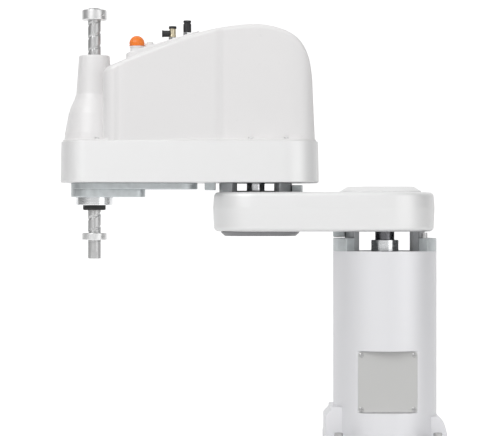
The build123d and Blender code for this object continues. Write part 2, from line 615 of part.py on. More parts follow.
def make_shaft_drive():
    """Write the housings, nuts, pulleys, belts and motors of the shaft."""
    housing = prism(housing_plan(), HOUSING_Z, ARM2_Z - HOUSING_PLATE)
    housing += prism(hull((SHAFT_X, 0, HOUSING_BOSS_R), (SHAFT_X + HOUSING_PLATE_LENGTH, 0, 28)), ARM2_Z - HOUSING_PLATE, ARM2_Z)
    housing -= disc(NUT_R + 10 + SEAT, HOUSING_Z - 1, ARM2_Z + 1, SHAFT_X)
    save("shaft_housing", housing)
    save("shaft_housing_ring", tube(28.5, NUT_R + 8, RING_Z, HOUSING_Z, SHAFT_X))
    save("shaft_seal", tube(17.5, SHAFT_R + RUN, SEAL_Z, RING_Z, SHAFT_X))
    bearing_low = HOUSING_Z
    save("spline_bearings", *[tube(NUT_R + 10, NUT_R + JOURNAL, z, z + 9, SHAFT_X) for z in (bearing_low, FLOOR_Z - 10)])

    pulley_low = FLOOR_Z + 7
    nut_low = RING_Z + 1
    save("spline_nut", tube(NUT_R, SHAFT_R + JOURNAL, nut_low, pulley_low - 1, SHAFT_X)
         + tube(NUT_R + 3, SHAFT_R + JOURNAL, pulley_low - 1, pulley_low, SHAFT_X))
    spline_pulley = prism(toothed_sketch(SPLINE_PULLEY_R, 40, SHAFT_X, 0), pulley_low, pulley_low + PULLEY_WIDTH)
    save("spline_pulley", spline_pulley - disc(SHAFT_R + 2, pulley_low - 1, pulley_low + PULLEY_WIDTH + 1, SHAFT_X))
    motor4_x, motor4_y = SHAFT_X + MOTOR4_X, MOTOR4_Y
    save("joint4_belt", belt(SHAFT_X, 0, SPLINE_PULLEY_R, motor4_x, motor4_y, MOTOR_PULLEY_R, pulley_low + 1, pulley_low + PULLEY_WIDTH - 1))
    pulley = prism(toothed_sketch(MOTOR_PULLEY_R, 16, motor4_x, motor4_y), pulley_low, pulley_low + PULLEY_WIDTH)
    bracket_low = pulley_low + PULLEY_WIDTH + 3
    bracket_top = bracket_low + 6
    shaft = disc(4, pulley_low + PULLEY_WIDTH, bracket_top + 10, motor4_x, motor4_y)
    save("joint4_motor_pulley", pulley + shaft)
    half = MOTOR_SIDE / 2 + 2
    arm = [(motor4_x - half, bracket_low), (motor4_x - half, bracket_top), (motor4_x + half + 6, bracket_top),
           (motor4_x + half + 6, FLOOR_Z + 5), (motor4_x + half + 18, FLOOR_Z + 5), (motor4_x + half + 18, FLOOR_Z),
           (motor4_x + half, FLOOR_Z), (motor4_x + half, bracket_low)]
    bracket = side_prism(arm, half, motor4_y) - disc(8, bracket_low - 1, bracket_top + 1, motor4_x, motor4_y)
    save("joint4_motor_bracket", bracket)
    save("joint4_motor", servo(MOTOR_SIDE, MOTOR_LENGTH, ENCODER_LENGTH, motor4_x, motor4_y, bracket_top, 4))

    screw_low = SHELF_Z - 4 - PULLEY_WIDTH
    nut = tube(NUT_R, SHAFT_R + JOURNAL, screw_low, SHELF_Z + SHELF_THICK + 22, SHAFT_X)
    nut += tube(NUT_R + 5, NUT_R - 1, SHELF_Z + SHELF_THICK + RUN + 8, SHELF_Z + SHELF_THICK + 16, SHAFT_X)
    save("ball_screw_nut", nut)
    screw_pulley = prism(toothed_sketch(SCREW_PULLEY_R, 32, SHAFT_X, 0), screw_low, screw_low + PULLEY_WIDTH)
    save("screw_nut_pulley", screw_pulley - disc(NUT_R, screw_low - 1, SHELF_Z, SHAFT_X))
    save("screw_nut_bearing", tube(NUT_R + 9, NUT_R + JOURNAL, SHELF_Z, SHELF_Z + SHELF_THICK + 8, SHAFT_X))
    motor3_x, motor3_y = SHAFT_X + MOTOR3_X, MOTOR3_Y
    save("joint3_belt", belt(SHAFT_X, 0, SCREW_PULLEY_R, motor3_x, motor3_y, MOTOR_PULLEY_R, screw_low + 1, screw_low + PULLEY_WIDTH - 1))
    pulley = prism(toothed_sketch(MOTOR_PULLEY_R, 16, motor3_x, motor3_y), screw_low, screw_low + PULLEY_WIDTH)
    shaft = disc(4, screw_low + PULLEY_WIDTH, SHELF_Z + SHELF_THICK + 10, motor3_x, motor3_y)
    save("joint3_motor_pulley", pulley + shaft)
    legs = [(SHAFT_X - 22, 28.8), (SHAFT_X - 22, -28.8), (SHAFT_X + 52, -42), (SHAFT_X + 93, 30)]
    shelf = prism(hull(*[(x, y, 6) for x, y in legs], (SHAFT_X + 62, 42, 6)), SHELF_Z, SHELF_Z + SHELF_THICK)
    shelf &= nose(NECK_WALL + 1, SEAM_Z, NECK_TOP) + hood(COVER_WALL + 1, SEAM_Z)
    for x, y in legs:
        shelf += disc(4, FLOOR_Z, SHELF_Z, x, y)
    shelf -= disc(NUT_R + 9 + SEAT, SHELF_Z - 1, SHELF_Z + SHELF_THICK + 1, SHAFT_X)
    shelf -= disc(8, SHELF_Z - 1, SHELF_Z + SHELF_THICK + 1, motor3_x, motor3_y)
    save("drive_shelf", shelf)
    save("joint3_motor", servo(MOTOR_SIDE, MOTOR_LENGTH, ENCODER_LENGTH, motor3_x, motor3_y, SHELF_Z + SHELF_THICK, 4))


def make_joint2_drive():
    """Write joint 2's reducer and motor in arm 2, and its stop lug below."""
    flange_top = FLOOR_Z + REDUCER2_FLANGE
    top = FLOOR_Z + REDUCER2_HEIGHT
    save("joint2_reducer", disc(REDUCER2_R, FLOOR_Z, flange_top, JOINT2_X) + disc(REDUCER2_BODY_R, flange_top, top, JOINT2_X))
    save("joint2_motor", servo(MOTOR2_SIDE, MOTOR2_LENGTH, ENCODER2_LENGTH, JOINT2_X, 0, top, 6))
    lug_x = JOINT2_X - STOP2_OUTER_R - 6
    lug = block(lug_x, lug_x + 17, -STOP_LUG_HALF, STOP_LUG_HALF, ARM1_TOP + 3, ARM2_Z)
    save("joint2_stop_lug", chamfer(lug.edges().filter_by(Axis.Z), 3))


# Shaft


def clamp_collar(low, height):
    """Split clamp collar on the shaft."""
    ring = tube(COLLAR_R, SHAFT_R, low, low + height, SHAFT_X)
    ring -= block(SHAFT_X, SHAFT_X + COLLAR_R + 1, -1, 1, low - 1, low + height + 1)
    flat = block(SHAFT_X + 9, SHAFT_X + COLLAR_R + 1, -COLLAR_R - 1, -COLLAR_R + 7, low - 1, low + height + 1)
    return ring - flat


def collar_screw(low, height):
    """Clamp screw across a collar's split."""
    place = Pos(SHAFT_X + 14.5, -COLLAR_R + 7, low + height / 2) * Rot(90, 0, 0)
    return place * disc(3, 0, 3)


def ball_groove(low, high):
    """Round-bottomed helical groove that the nut's balls run in."""
    path = Pos(SHAFT_X, 0, low) * Helix(pitch=SCREW_LEAD, height=high - low, radius=SHAFT_R + 0.36 * BALL_R)
    section = Plane(origin=path @ 0, z_dir=path % 0) * Circle(BALL_R)
    return sweep(section, path=path, is_frenet=True)


def make_shaft():
    """Write the ball-screw spline shaft with its two collars."""
    top = SHAFT_BOTTOM + SHAFT_LENGTH
    start = SHAFT_BOTTOM + TOOL_LENGTH
    shaft = tube(SHAFT_R, SHAFT_BORE_R, SHAFT_BOTTOM, top, SHAFT_X)
    for index in range(3):
        x, y = polar(SHAFT_R + 0.6, 30 + 120 * index, SHAFT_X)
        shaft -= disc(SPLINE_GROOVE_R, start, top - 2, x, y)
    shaft -= ball_groove(start + 2, top - 4)
    shaft -= tube(SHAFT_R + 1, SHAFT_R - 0.4, start - 2, start - 0.5, SHAFT_X)
    shaft = chamfer(shaft.edges().group_by(Axis.Z)[0], 0.6)
    flat = block(SHAFT_X - 6, SHAFT_X + 6, -SHAFT_R - 1, -SHAFT_R + 1, SHAFT_BOTTOM + 1, SHAFT_BOTTOM + 11)
    save("spline_shaft", shaft - flat)
    save("shaft_collars", clamp_collar(UPPER_COLLAR_Z, UPPER_COLLAR_HEIGHT),
         clamp_collar(LOWER_COLLAR_Z, LOWER_COLLAR_HEIGHT))
    save("collar_screws", collar_screw(UPPER_COLLAR_Z, UPPER_COLLAR_HEIGHT), collar_screw(LOWER_COLLAR_Z, LOWER_COLLAR_HEIGHT))


make_base()
make_arm1()
make_band()
make_cover()
make_shaft_drive()
make_joint2_drive()
make_shaft()
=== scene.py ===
"""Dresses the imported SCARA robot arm: painted castings, turned steel, plastics, studio and camera.

Sizes are in millimetres and become metres when a mesh is made. The frame is the model's own: the
origin on joint 1's axis at the foot's underside, Z up, the arms reaching out along -X.
"""

import logging
from dataclasses import dataclass, field
from enum import Enum
from typing import Callable, Sequence

import bmesh
import bpy
import numpy as np
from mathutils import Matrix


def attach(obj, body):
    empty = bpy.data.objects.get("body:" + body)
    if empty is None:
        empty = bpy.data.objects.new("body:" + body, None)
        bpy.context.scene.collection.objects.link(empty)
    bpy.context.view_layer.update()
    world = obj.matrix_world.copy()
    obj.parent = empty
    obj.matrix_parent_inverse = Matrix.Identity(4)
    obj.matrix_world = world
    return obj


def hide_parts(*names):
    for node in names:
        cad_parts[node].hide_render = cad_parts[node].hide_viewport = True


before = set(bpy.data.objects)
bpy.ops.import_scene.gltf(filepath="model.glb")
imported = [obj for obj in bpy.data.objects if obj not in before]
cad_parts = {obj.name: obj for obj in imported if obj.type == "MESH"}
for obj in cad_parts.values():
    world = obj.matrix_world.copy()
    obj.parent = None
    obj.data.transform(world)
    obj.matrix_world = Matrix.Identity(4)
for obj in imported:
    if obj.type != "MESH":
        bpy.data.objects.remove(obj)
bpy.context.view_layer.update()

LOG = logging.getLogger("scara")
MM = 0.001
Array = np.ndarray
Colour = tuple[float, float, float]

JOINT2_X = -200.0
SHAFT_X = -450.0
ARM1_Z = 328.0
ARM1_TOP = 388.6
ARM2_Z = 403.0
SEAM_Z = 466.5


# Surfaces


@dataclass
class Patch:
    """Points and faces of one surface, in millimetres."""

    points: Array
    faces: list[list[int]]

    def moved(self, x: float = 0.0, y: float = 0.0, z: float = 0.0) -> "Patch":
        """Return the patch shifted along the axes."""
        return Patch(self.points + np.array([x, y, z]), self.faces)

    def mapped(self, axes: Callable[[Array, Array, Array], tuple[Array, Array, Array]]) -> "Patch":
        """Return the patch with its coordinates passed through a function.

        Args:
            axes: Takes the x, y and z arrays and returns the new ones.
        """
        return Patch(np.column_stack(axes(*self.points.T)), self.faces)


def join(patches: Sequence[Patch]) -> Patch:
    """Return several patches as one, their points counted on from each other."""
    points, faces, start = [], [], 0
    for patch in patches:
        points.append(patch.points)
        faces += [[index + start for index in face] for face in patch.faces]
        start += len(patch.points)
    return Patch(np.vstack(points), faces)


def grid_patch(grid: Array, around: bool = True, loop_rows: bool = False, caps: bool = False,
               ends: bool = False) -> Patch:
    """Make a surface from a grid of points.

    Neighbouring rows and columns are joined by four-sided faces.

    Args:
        grid: Points as rows, columns, xyz.
        around: Joins the last column to the first.
        loop_rows: Joins the last row to the first.
        caps: Closes the first and the last row with a flat face.
        ends: Closes the first and the last column with a flat face.

    Returns:
        The surface as points and faces.
    """
    rows, columns = grid.shape[:2]
    index = np.arange(rows * columns).reshape(rows, columns)
    if around:
        index = np.hstack([index, index[:, :1]])
    if loop_rows:
        index = np.vstack([index, index[:1]])
    quads = np.stack([index[:-1, :-1], index[:-1, 1:], index[1:, 1:], index[1:, :-1]], axis=-1).reshape(-1, 4)
    faces = quads.tolist()
    plain = np.arange(rows * columns).reshape(rows, columns)
    if caps:
        faces += [plain[0][::-1].tolist(), plain[-1].tolist()]
    if ends:
        faces += [plain[:, 0].tolist(), plain[:, -1][::-1].tolist()]
    return Patch(grid.reshape(-1, 3), faces)


def soften(points: Sequence[Sequence[float]], cut: float = 1.0, steps: int = 4, closed: bool = False) -> Array:
    """Round the corners of a line.

    Each corner P becomes the parabola (1-t)^2 A + 2t(1-t) P + t^2 B, where A and B lie on the two
    runs at the cut's distance from P, or at 0.45 of the run where that is shorter.

    Args:
        points: Corners as two or three coordinates.
        cut: Distance from the corner at which the rounding starts.
        steps: Number of pieces in each rounding.
        closed: Rounds the first and the last corner too.

    Returns:
        The rounded line.
    """
    line = np.asarray(points, float)
    before, after = np.roll(line, 1, axis=0) - line, np.roll(line, -1, axis=0) - line
    far_before = np.linalg.norm(before, axis=1, keepdims=True)
    far_after = np.linalg.norm(after, axis=1, keepdims=True)
    back = line + before / np.maximum(far_before, 1e-9) * np.minimum(cut, 0.45 * far_before)
    front = line + after / np.maximum(far_after, 1e-9) * np.minimum(cut, 0.45 * far_after)
    t = np.linspace(0, 1, steps + 1)[None, :, None]
    curve = (1 - t) ** 2 * back[:, None] + 2 * t * (1 - t) * line[:, None] + t ** 2 * front[:, None]
    if closed:
        return curve.reshape(-1, line.shape[1])
    return np.vstack([line[:1], curve[1:-1].reshape(-1, line.shape[1]), line[-1:]])


def clamped_spline(points: Sequence[Sequence[float]], start: Sequence[float], end: Sequence[float],
                   count: int = 60) -> Array:
    """Return the cubic through three points with given directions at its ends.

    The middle slope makes the curvature continuous: h1 m0 + 2 (h0 + h1) m1 + h0 m2 =
    3 (h1 (P1 - P0) / h0 + h0 (P2 - P1) / h1), with h the chord lengths and unit end slopes.

    Args:
        points: The three points.
        start: Direction at the first point.
        end: Direction at the last point.
        count: Points on each half.
    """
    p = np.asarray(points, float)
    m0 = np.asarray(start, float) / np.linalg.norm(start)
    m2 = np.asarray(end, float) / np.linalg.norm(end)
    h0, h1 = np.linalg.norm(p[1] - p[0]), np.linalg.norm(p[2] - p[1])
    m1 = (3 * (h1 * (p[1] - p[0]) / h0 + h0 * (p[2] - p[1]) / h1) - h1 * m0 - h0 * m2) / (2 * (h0 + h1))
    halves = []
    for a, b, ma, mb, h in ((p[0], p[1], m0, m1, h0), (p[1], p[2], m1, m2, h1)):
        t = np.linspace(0, 1, count)[:, None]
        halves.append((2 * t ** 3 - 3 * t ** 2 + 1) * a + (t ** 3 - 2 * t ** 2 + t) * h * ma
                      + (3 * t ** 2 - 2 * t ** 3) * b + (t ** 3 - t ** 2) * h * mb)
    return np.vstack([halves[0], halves[1][1:]])


@dataclass(frozen=True)
class Outline:
    """Closed plan line given by circle centres, radii and outward directions along it."""

    centre: Array
    radius: Array
    normal: Array

    @classmethod
    def around(cls, circles: Sequence[tuple[float, float, float]], count: int = 240) -> "Outline":
        """Stretch a line round circles.

        In each direction n the line touches the circle with the largest c.n + r, at c + r n. The
        samples are then spaced evenly along the line.

        Args:
            circles: x, y and radius of each circle.
            count: Number of samples.
        """
        data = np.asarray(circles, float)
        angle = np.linspace(0, 2 * np.pi, 2881)
        normal = np.column_stack([np.cos(angle), np.sin(angle)])
        touched = np.argmax(normal @ data[:, :2].T + data[:, 2], axis=1)
        table = np.column_stack([data[touched], normal])
        line = table[:, :2] + table[:, 2:3] * normal
        run = np.concatenate([[0], np.cumsum(np.linalg.norm(np.diff(line, axis=0), axis=1))])
        spots = np.linspace(0, run[-1], count, endpoint=False)
        even = np.column_stack([np.interp(spots, run, column) for column in table.T])
        return cls(even[:, :2], even[:, 2], even[:, 3:])

    @classmethod
    def rectangle(cls, x: float, y: float, length: float, width: float, corner: float,
                  count: int = 160) -> "Outline":
        """Return a rectangle with round corners about a centre."""
        across, along = length / 2 - corner, width / 2 - corner
        return cls.around([(x + sx * across, y + sy * along, corner) for sx in (-1, 1) for sy in (-1, 1)], count)

    def at(self, inset: float) -> Array:
        """Return the line moved inwards by a distance, as x and y."""
        return self.centre + (self.radius - inset)[:, None] * self.normal

    def wall(self, rows: Array) -> Array:
        """Return a grid that carries a profile round the line.

        Args:
            rows: Profile as inset and height.
        """
        plan = self.centre[None] + (self.radius[None] - rows[:, :1])[..., None] * self.normal[None]
        height = np.broadcast_to(rows[:, 1][:, None, None], plan.shape[:2] + (1,))
        return np.concatenate([plan, height], axis=2)


def turned(profile: Array, x: float = 0.0, y: float = 0.0, count: int = 96,
           swell: Callable[[Array], Array] | None = None) -> Array:
    """Turn a profile of radius and height about an upright axis.

    A point is (x + r cos a, y + r sin a, z), with r multiplied by swell(a) where that is given.

    Args:
        profile: Radius and height of each row.
        x: The axis's place.
        y: The axis's place.
        count: Number of columns.
        swell: Factor on the radius as a function of the angle.
    """
    angle = np.linspace(0, 2 * np.pi, count, endpoint=False)
    radius = profile[:, :1] * (swell(angle)[None] if swell else np.ones((1, count)))
    return np.stack([x + radius * np.cos(angle), y + radius * np.sin(angle),
                     np.broadcast_to(profile[:, 1:], radius.shape)], axis=-1)


def ring(outer: float, inner: float, low: float, high: float, x: float = 0.0, y: float = 0.0,
         cut: float = 0.6, count: int = 96) -> Patch:
    """Return a tube with rounded edges: a rectangle of radius and height turned about an axis."""
    corners = [(outer, low), (outer, high), (inner, high), (inner, low)]
    return grid_patch(turned(soften(corners, cut, closed=True), x, y, count), loop_rows=True)


def sector(outer: float, inner: float, middle: float, half: float, low: float, high: float,
           x: float = 0.0, cut: float = 0.8, count: int = 40) -> Patch:
    """Return part of a tube: its softened section carried along an arc and closed at both ends.

    Args:
        outer: Outer radius.
        inner: Inner radius.
        middle: Angle of the middle in degrees.
        half: Half of the angle that it spans.
        low: Lower level.
        high: Upper level.
        x: The axis's place.
        cut: Size of the edge rounding.
        count: Number of columns.
    """
    loop = soften([(outer, low), (outer, high), (inner, high), (inner, low)], cut, closed=True)
    centre = loop.mean(axis=0)
    angle = np.radians(np.linspace(middle - half, middle + half, count))
    step = cut / outer
    angle = np.concatenate([[angle[0], angle[0] + 0.3 * step, angle[0] + step], angle[1:-1],
                            [angle[-1] - step, angle[-1] - 0.3 * step, angle[-1]]])
    shrink = np.zeros(len(angle))
    shrink[[0, 1, -2, -1]] = [cut, 0.3 * cut, 0.3 * cut, cut]
    half_size = np.abs(loop - centre).max(axis=0)
    scale = 1 - shrink[None, :, None] / half_size[None, None]
    section = centre + (loop[:, None] - centre) * scale
    grid = np.stack([x + section[..., 0] * np.cos(angle), section[..., 0] * np.sin(angle), section[..., 1]], axis=-1)
    return grid_patch(grid, around=False, loop_rows=True, ends=True)


def slab(outline: Outline, low: float, high: float, cut: float = 1.0, draft: float = 0.0,
         steps: int = 4) -> Patch:
    """Return a raised outline with rounded rims: the inset and height profile carried round it.

    Args:
        outline: Plan line.
        low: Lower level.
        high: Upper level.
        cut: Size of the rounding on both rims.
        draft: Inset of the upper rim.
        steps: Pieces in each rounding.
    """
    deep = cut + 1.5
    rows = soften([(deep, low), (0, low), (draft, high), (deep + draft, high)], cut, steps)
    return grid_patch(outline.wall(rows), caps=True)


def side_slab(points: Sequence[Sequence[float]], half: float, cut: float = 1.0) -> Patch:
    """Return a side view carried across Y, its corners and rims rounded.

    The outline shrinks towards its middle at both ends by the rounding, which follows a quarter circle.

    Args:
        points: Corners as x and z.
        half: Half of the width.
        cut: Size of the rounding.
    """
    loop = soften(points, cut, closed=True)
    middle = (loop.max(axis=0) + loop.min(axis=0)) / 2
    size = (loop.max(axis=0) - loop.min(axis=0)) / 2
    turn = np.linspace(0, np.pi / 2, 5)
    inset = np.concatenate([cut * (1 - np.sin(turn)), cut * (1 - np.cos(turn))])
    width = np.concatenate([-half + cut * (1 - np.cos(turn)), half - cut * (1 - np.sin(turn))])
    section = middle + (loop[None] - middle) * (1 - inset[:, None, None] / size)
    grid = np.stack([section[..., 0], np.broadcast_to(width[:, None], section.shape[:2]), section[..., 1]], axis=-1)
    return grid_patch(grid, caps=True)


def hexagon(flats: float) -> Callable[[Array], Array]:
    """Return the radius factor of a hexagon whose flats lie at the given factor of its corners."""
    def factor(angle: Array) -> Array:
        return flats / np.cos((angle + np.pi / 6) % (np.pi / 3) - np.pi / 6)
    return factor


def cap_screw(x: float, y: float, seat: float, head: float, height: float) -> Patch:
    """Return a socket head screw: a fluted head turned about its axis, with a six-sided recess.

    The head's radius is R (1 + 0.012 cos 36a), and the recess is a hexagon of 0.5 R across its flats.

    Args:
        x: The axis's place.
        y: The axis's place.
        seat: Level of the face that the head stands on.
        head: Radius of the head.
        height: Height of the head.
    """
    count = 144
    top = seat + height
    outer = soften([(head - 1, seat), (head, seat), (head, top), (0.62 * head, top)], 0.12 * head, 3)
    fluted = turned(outer[:-4], x, y, count, lambda a: 1 + 0.012 * np.cos(36 * a))
    plain = turned(outer[-4:], x, y, count)
    socket = turned(np.array([(0.62 * head, top), (0.55 * head, top - 0.12 * head), (0.55 * head, seat + 0.4 * height),
                              (0.01, seat + 0.36 * height)]), x, y, count, None)
    recess = turned(np.array([(0.58 * head, top - 0.05 * head), (0.55 * head, top - 0.14 * head),
                              (0.55 * head, seat + 0.4 * height), (0.01, seat + 0.36 * height)]), x, y, count, hexagon(0.87))
    grid = np.vstack([fluted, plain, socket[:1], recess])
    return grid_patch(grid, caps=True)


def pan_screw(head: float, height: float) -> Patch:
    """Return a low domed head about the origin with a cross recess.

    The dome's height falls as h (1 - 0.5 (r / R)^2), and inside the cross it lies deeper by up to
    0.45 h where min(|x|, |y|) is under 0.13 R.
    """
    radius = head * np.array([1.0, 1.0, 0.97, 0.9, 0.8, 0.68, 0.56, 0.46, 0.36, 0.27, 0.19, 0.12, 0.06, 0.005])
    angle = np.linspace(0, 2 * np.pi, 96, endpoint=False)
    x, y = radius[:, None] * np.cos(angle), radius[:, None] * np.sin(angle)
    z = height * (1 - 0.5 * (radius[:, None] / head) ** 2) + 0 * x
    cross = (np.minimum(np.abs(x), np.abs(y)) < 0.13 * head) & (np.hypot(x, y) < 0.62 * head)
    z = np.where(cross, z - 0.45 * height, z)
    z[0] = 0.0
    return grid_patch(np.stack([x, y, z], axis=-1), caps=True)


# Pieces


class Body(Enum):
    """Bodies that move as one."""

    BASE = "base"
    ARM1 = "arm1"
    ARM2 = "arm2"
    SHAFT = "shaft"
    BUTTON = "brake_button"


def make_piece(name: str, patch: Patch, finish: "Finish", body: Body,
               nodes: Sequence[str] = (), angle: float = 32.0) -> bpy.types.Object:
    """Turn a patch into a finished piece that rides on a body.

    Args:
        name: Name of the piece.
        patch: Its surface in millimetres.
        finish: Its finish.
        body: The body that carries it.
        nodes: CAD nodes that it stands for.
        angle: Edges sharper than this many degrees stay sharp.

    Returns:
        The new object.
    """
    mesh = bpy.data.meshes.new(name)
    mesh.from_pydata((patch.points * MM).tolist(), [], patch.faces)
    shape = bmesh.new()
    shape.from_mesh(mesh)
    bmesh.ops.remove_doubles(shape, verts=shape.verts, dist=2e-6)
    bmesh.ops.dissolve_degenerate(shape, edges=shape.edges, dist=1e-6)
    bmesh.ops.recalc_face_normals(shape, faces=shape.faces)
    shape.to_mesh(mesh)
    shape.free()
    mesh.polygons.foreach_set("use_smooth", np.ones(len(mesh.polygons), bool))
    mesh.set_sharp_from_angle(angle=np.radians(angle))
    piece = bpy.data.objects.new(name, mesh)
    bpy.context.scene.collection.objects.link(piece)
    mesh.materials.append(finish.material())
    normals = piece.modifiers.new("normals", "WEIGHTED_NORMAL")
    normals.keep_sharp = True
    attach(piece, body.value)
    if nodes:
        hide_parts(*nodes)
    LOG.info("%s: %d points on %s", name, len(mesh.vertices), body.value)
    return piece


def dress(finish: "Finish", *nodes: str) -> None:
    """Give CAD nodes a finish on their own material slots."""
    for name in nodes:
        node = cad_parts[name]
        if not node.material_slots:
            node.data.materials.append(None)
        for place in node.material_slots:
            place.material = finish.material()
        LOG.info("%s: dressed", name)


# Finishes


def socket(group: bpy.types.NodeTree, name: str, kind: str, value: float | None = None, out: bool = False) -> None:
    """Add a named input or output to a node group."""
    made = group.interface.new_socket(name=name, in_out="OUTPUT" if out else "INPUT", socket_type=kind)
    if value is not None:
        made.default_value = value


class Wires:
    """Nodes and links of one tree."""

    def __init__(self, tree: bpy.types.NodeTree) -> None:
        """Keep the tree that is wired."""
        self.tree = tree

    def add(self, kind: str, **values: object) -> bpy.types.Node:
        """Add a node and set its properties."""
        node = self.tree.nodes.new(kind)
        for name, value in values.items():
            setattr(node, name, value)
        return node

    def link(self, start: bpy.types.NodeSocket, end: bpy.types.NodeSocket) -> None:
        """Join an output to an input."""
        self.tree.links.new(start, end)

    def maths(self, operation: str, first: object, second: object) -> bpy.types.NodeSocket:
        """Return the outcome of a Math node on two sockets or numbers."""
        node = self.add("ShaderNodeMath", operation=operation)
        for place, value in zip(node.inputs, (first, second)):
            if isinstance(value, bpy.types.NodeSocket):
                self.link(value, place)
            else:
                place.default_value = value
        return node.outputs[0]

    def spread(self, value: bpy.types.NodeSocket, low: float, high: float, to_low: float,
               to_high: float) -> bpy.types.NodeSocket:
        """Return a value mapped from one range to another, held at its ends."""
        node = self.add("ShaderNodeMapRange")
        self.link(value, node.inputs["Value"])
        for name, number in (("From Min", low), ("From Max", high), ("To Min", to_low), ("To Max", to_high)):
            node.inputs[name].default_value = number
        return node.outputs["Result"]

    def noise(self, vector: bpy.types.NodeSocket, scale: object, detail: float = 2.0,
              roughness: float = 0.5) -> bpy.types.NodeSocket:
        """Return the value of a Noise node at a place."""
        node = self.add("ShaderNodeTexNoise")
        self.link(vector, node.inputs["Vector"])
        if isinstance(scale, bpy.types.NodeSocket):
            self.link(scale, node.inputs["Scale"])
        else:
            node.inputs["Scale"].default_value = scale
        node.inputs["Detail"].default_value = detail
        node.inputs["Roughness"].default_value = roughness
        return node.outputs["Fac"]


def soil_group() -> bpy.types.NodeTree:
    """Return the group that gives faint handling marks and a slow change of tone.

    Its inputs are Vector, Scale and Amount. Tone swings about 1 by the amount, with large clouds, and
    Marks is a sparse mask of small scuffs.
    """
    found = bpy.data.node_groups.get("soil")
    if found:
        return found
    group = bpy.data.node_groups.new("soil", "ShaderNodeTree")
    socket(group, "Vector", "NodeSocketVector")
    socket(group, "Scale", "NodeSocketFloat", 6.0)
    socket(group, "Amount", "NodeSocketFloat", 0.03)
    socket(group, "Tone", "NodeSocketFloat", out=True)
    socket(group, "Marks", "NodeSocketFloat", out=True)
    wires = Wires(group)
    inlet, outlet = wires.add("NodeGroupInput"), wires.add("NodeGroupOutput")
    cloud = wires.noise(inlet.outputs["Vector"], inlet.outputs["Scale"], 3.0)
    centred = wires.maths("SUBTRACT", cloud, 0.5)
    tone = wires.maths("ADD", wires.maths("MULTIPLY", centred, inlet.outputs["Amount"]), 1.0)
    fine = wires.noise(inlet.outputs["Vector"], wires.maths("MULTIPLY", inlet.outputs["Scale"], 30.0), 2.0)
    marks = wires.maths("MULTIPLY", wires.spread(fine, 0.66, 0.74, 0.0, 1.0), wires.spread(cloud, 0.5, 0.62, 0.0, 1.0))
    wires.link(tone, outlet.inputs["Tone"])
    wires.link(marks, outlet.inputs["Marks"])
    return group


def grain_group() -> bpy.types.NodeTree:
    """Return the group that gives a fine even grain.

    Its inputs are Vector, Scale and Coarse. Height is fine noise with some ten times coarser noise mixed
    in by Coarse, as orange peel on paint or the skin of a casting.
    """
    found = bpy.data.node_groups.get("grain")
    if found:
        return found
    group = bpy.data.node_groups.new("grain", "ShaderNodeTree")
    socket(group, "Vector", "NodeSocketVector")
    socket(group, "Scale", "NodeSocketFloat", 900.0)
    socket(group, "Coarse", "NodeSocketFloat", 0.3)
    socket(group, "Height", "NodeSocketFloat", out=True)
    wires = Wires(group)
    inlet, outlet = wires.add("NodeGroupInput"), wires.add("NodeGroupOutput")
    fine = wires.noise(inlet.outputs["Vector"], inlet.outputs["Scale"], 1.5)
    coarse = wires.noise(inlet.outputs["Vector"], wires.maths("MULTIPLY", inlet.outputs["Scale"], 0.1), 1.5)
    height = wires.maths("ADD", fine, wires.maths("MULTIPLY", coarse, inlet.outputs["Coarse"]))
    wires.link(height, outlet.inputs["Height"])
    return group


def lay_group() -> bpy.types.NodeTree:
    """Return the group that gives the fine lines a tool leaves on metal.

    Its inputs are Vector, Stretch and Scale. The place is multiplied by Stretch, which is large across the
    lines and small along them, and Height and Streak are noise there.
    """
    found = bpy.data.node_groups.get("lay")
    if found:
        return found
    group = bpy.data.node_groups.new("lay", "ShaderNodeTree")
    socket(group, "Vector", "NodeSocketVector")
    socket(group, "Stretch", "NodeSocketVector")
    socket(group, "Scale", "NodeSocketFloat", 40.0)
    socket(group, "Height", "NodeSocketFloat", out=True)
    socket(group, "Streak", "NodeSocketFloat", out=True)
    wires = Wires(group)
    inlet, outlet = wires.add("NodeGroupInput"), wires.add("NodeGroupOutput")
    stretched = wires.add("ShaderNodeVectorMath", operation="MULTIPLY")
    wires.link(inlet.outputs["Vector"], stretched.inputs[0])
    wires.link(inlet.outputs["Stretch"], stretched.inputs[1])
    lines = wires.noise(stretched.outputs[0], inlet.outputs["Scale"], 4.0, 0.65)
    streak = wires.noise(stretched.outputs[0], wires.maths("MULTIPLY", inlet.outputs["Scale"], 0.25), 2.0)
    wires.link(lines, outlet.inputs["Height"])
    wires.link(streak, outlet.inputs["Streak"])
    return group


class Finish:
    """A finish that is made into a material once."""

    name: str

    def material(self) -> bpy.types.Material:
        """Return the material, made on first use."""
        found = bpy.data.materials.get(self.name)
        if found:
            return found
        made = bpy.data.materials.new(self.name)
        made.use_nodes = True
        tree = made.node_tree
        shader = tree.nodes["Principled BSDF"]
        wires = Wires(tree)
        place = wires.add("ShaderNodeTexCoord").outputs["Object"]
        self.wire(wires, shader, place)
        return made

    def wire(self, wires: Wires, shader: bpy.types.Node, place: bpy.types.NodeSocket) -> None:
        """Set the shader and wire what varies over the surface.

        Args:
            wires: The material's tree.
            shader: Its Principled shader.
            place: Object coordinates.
        """
        raise NotImplementedError


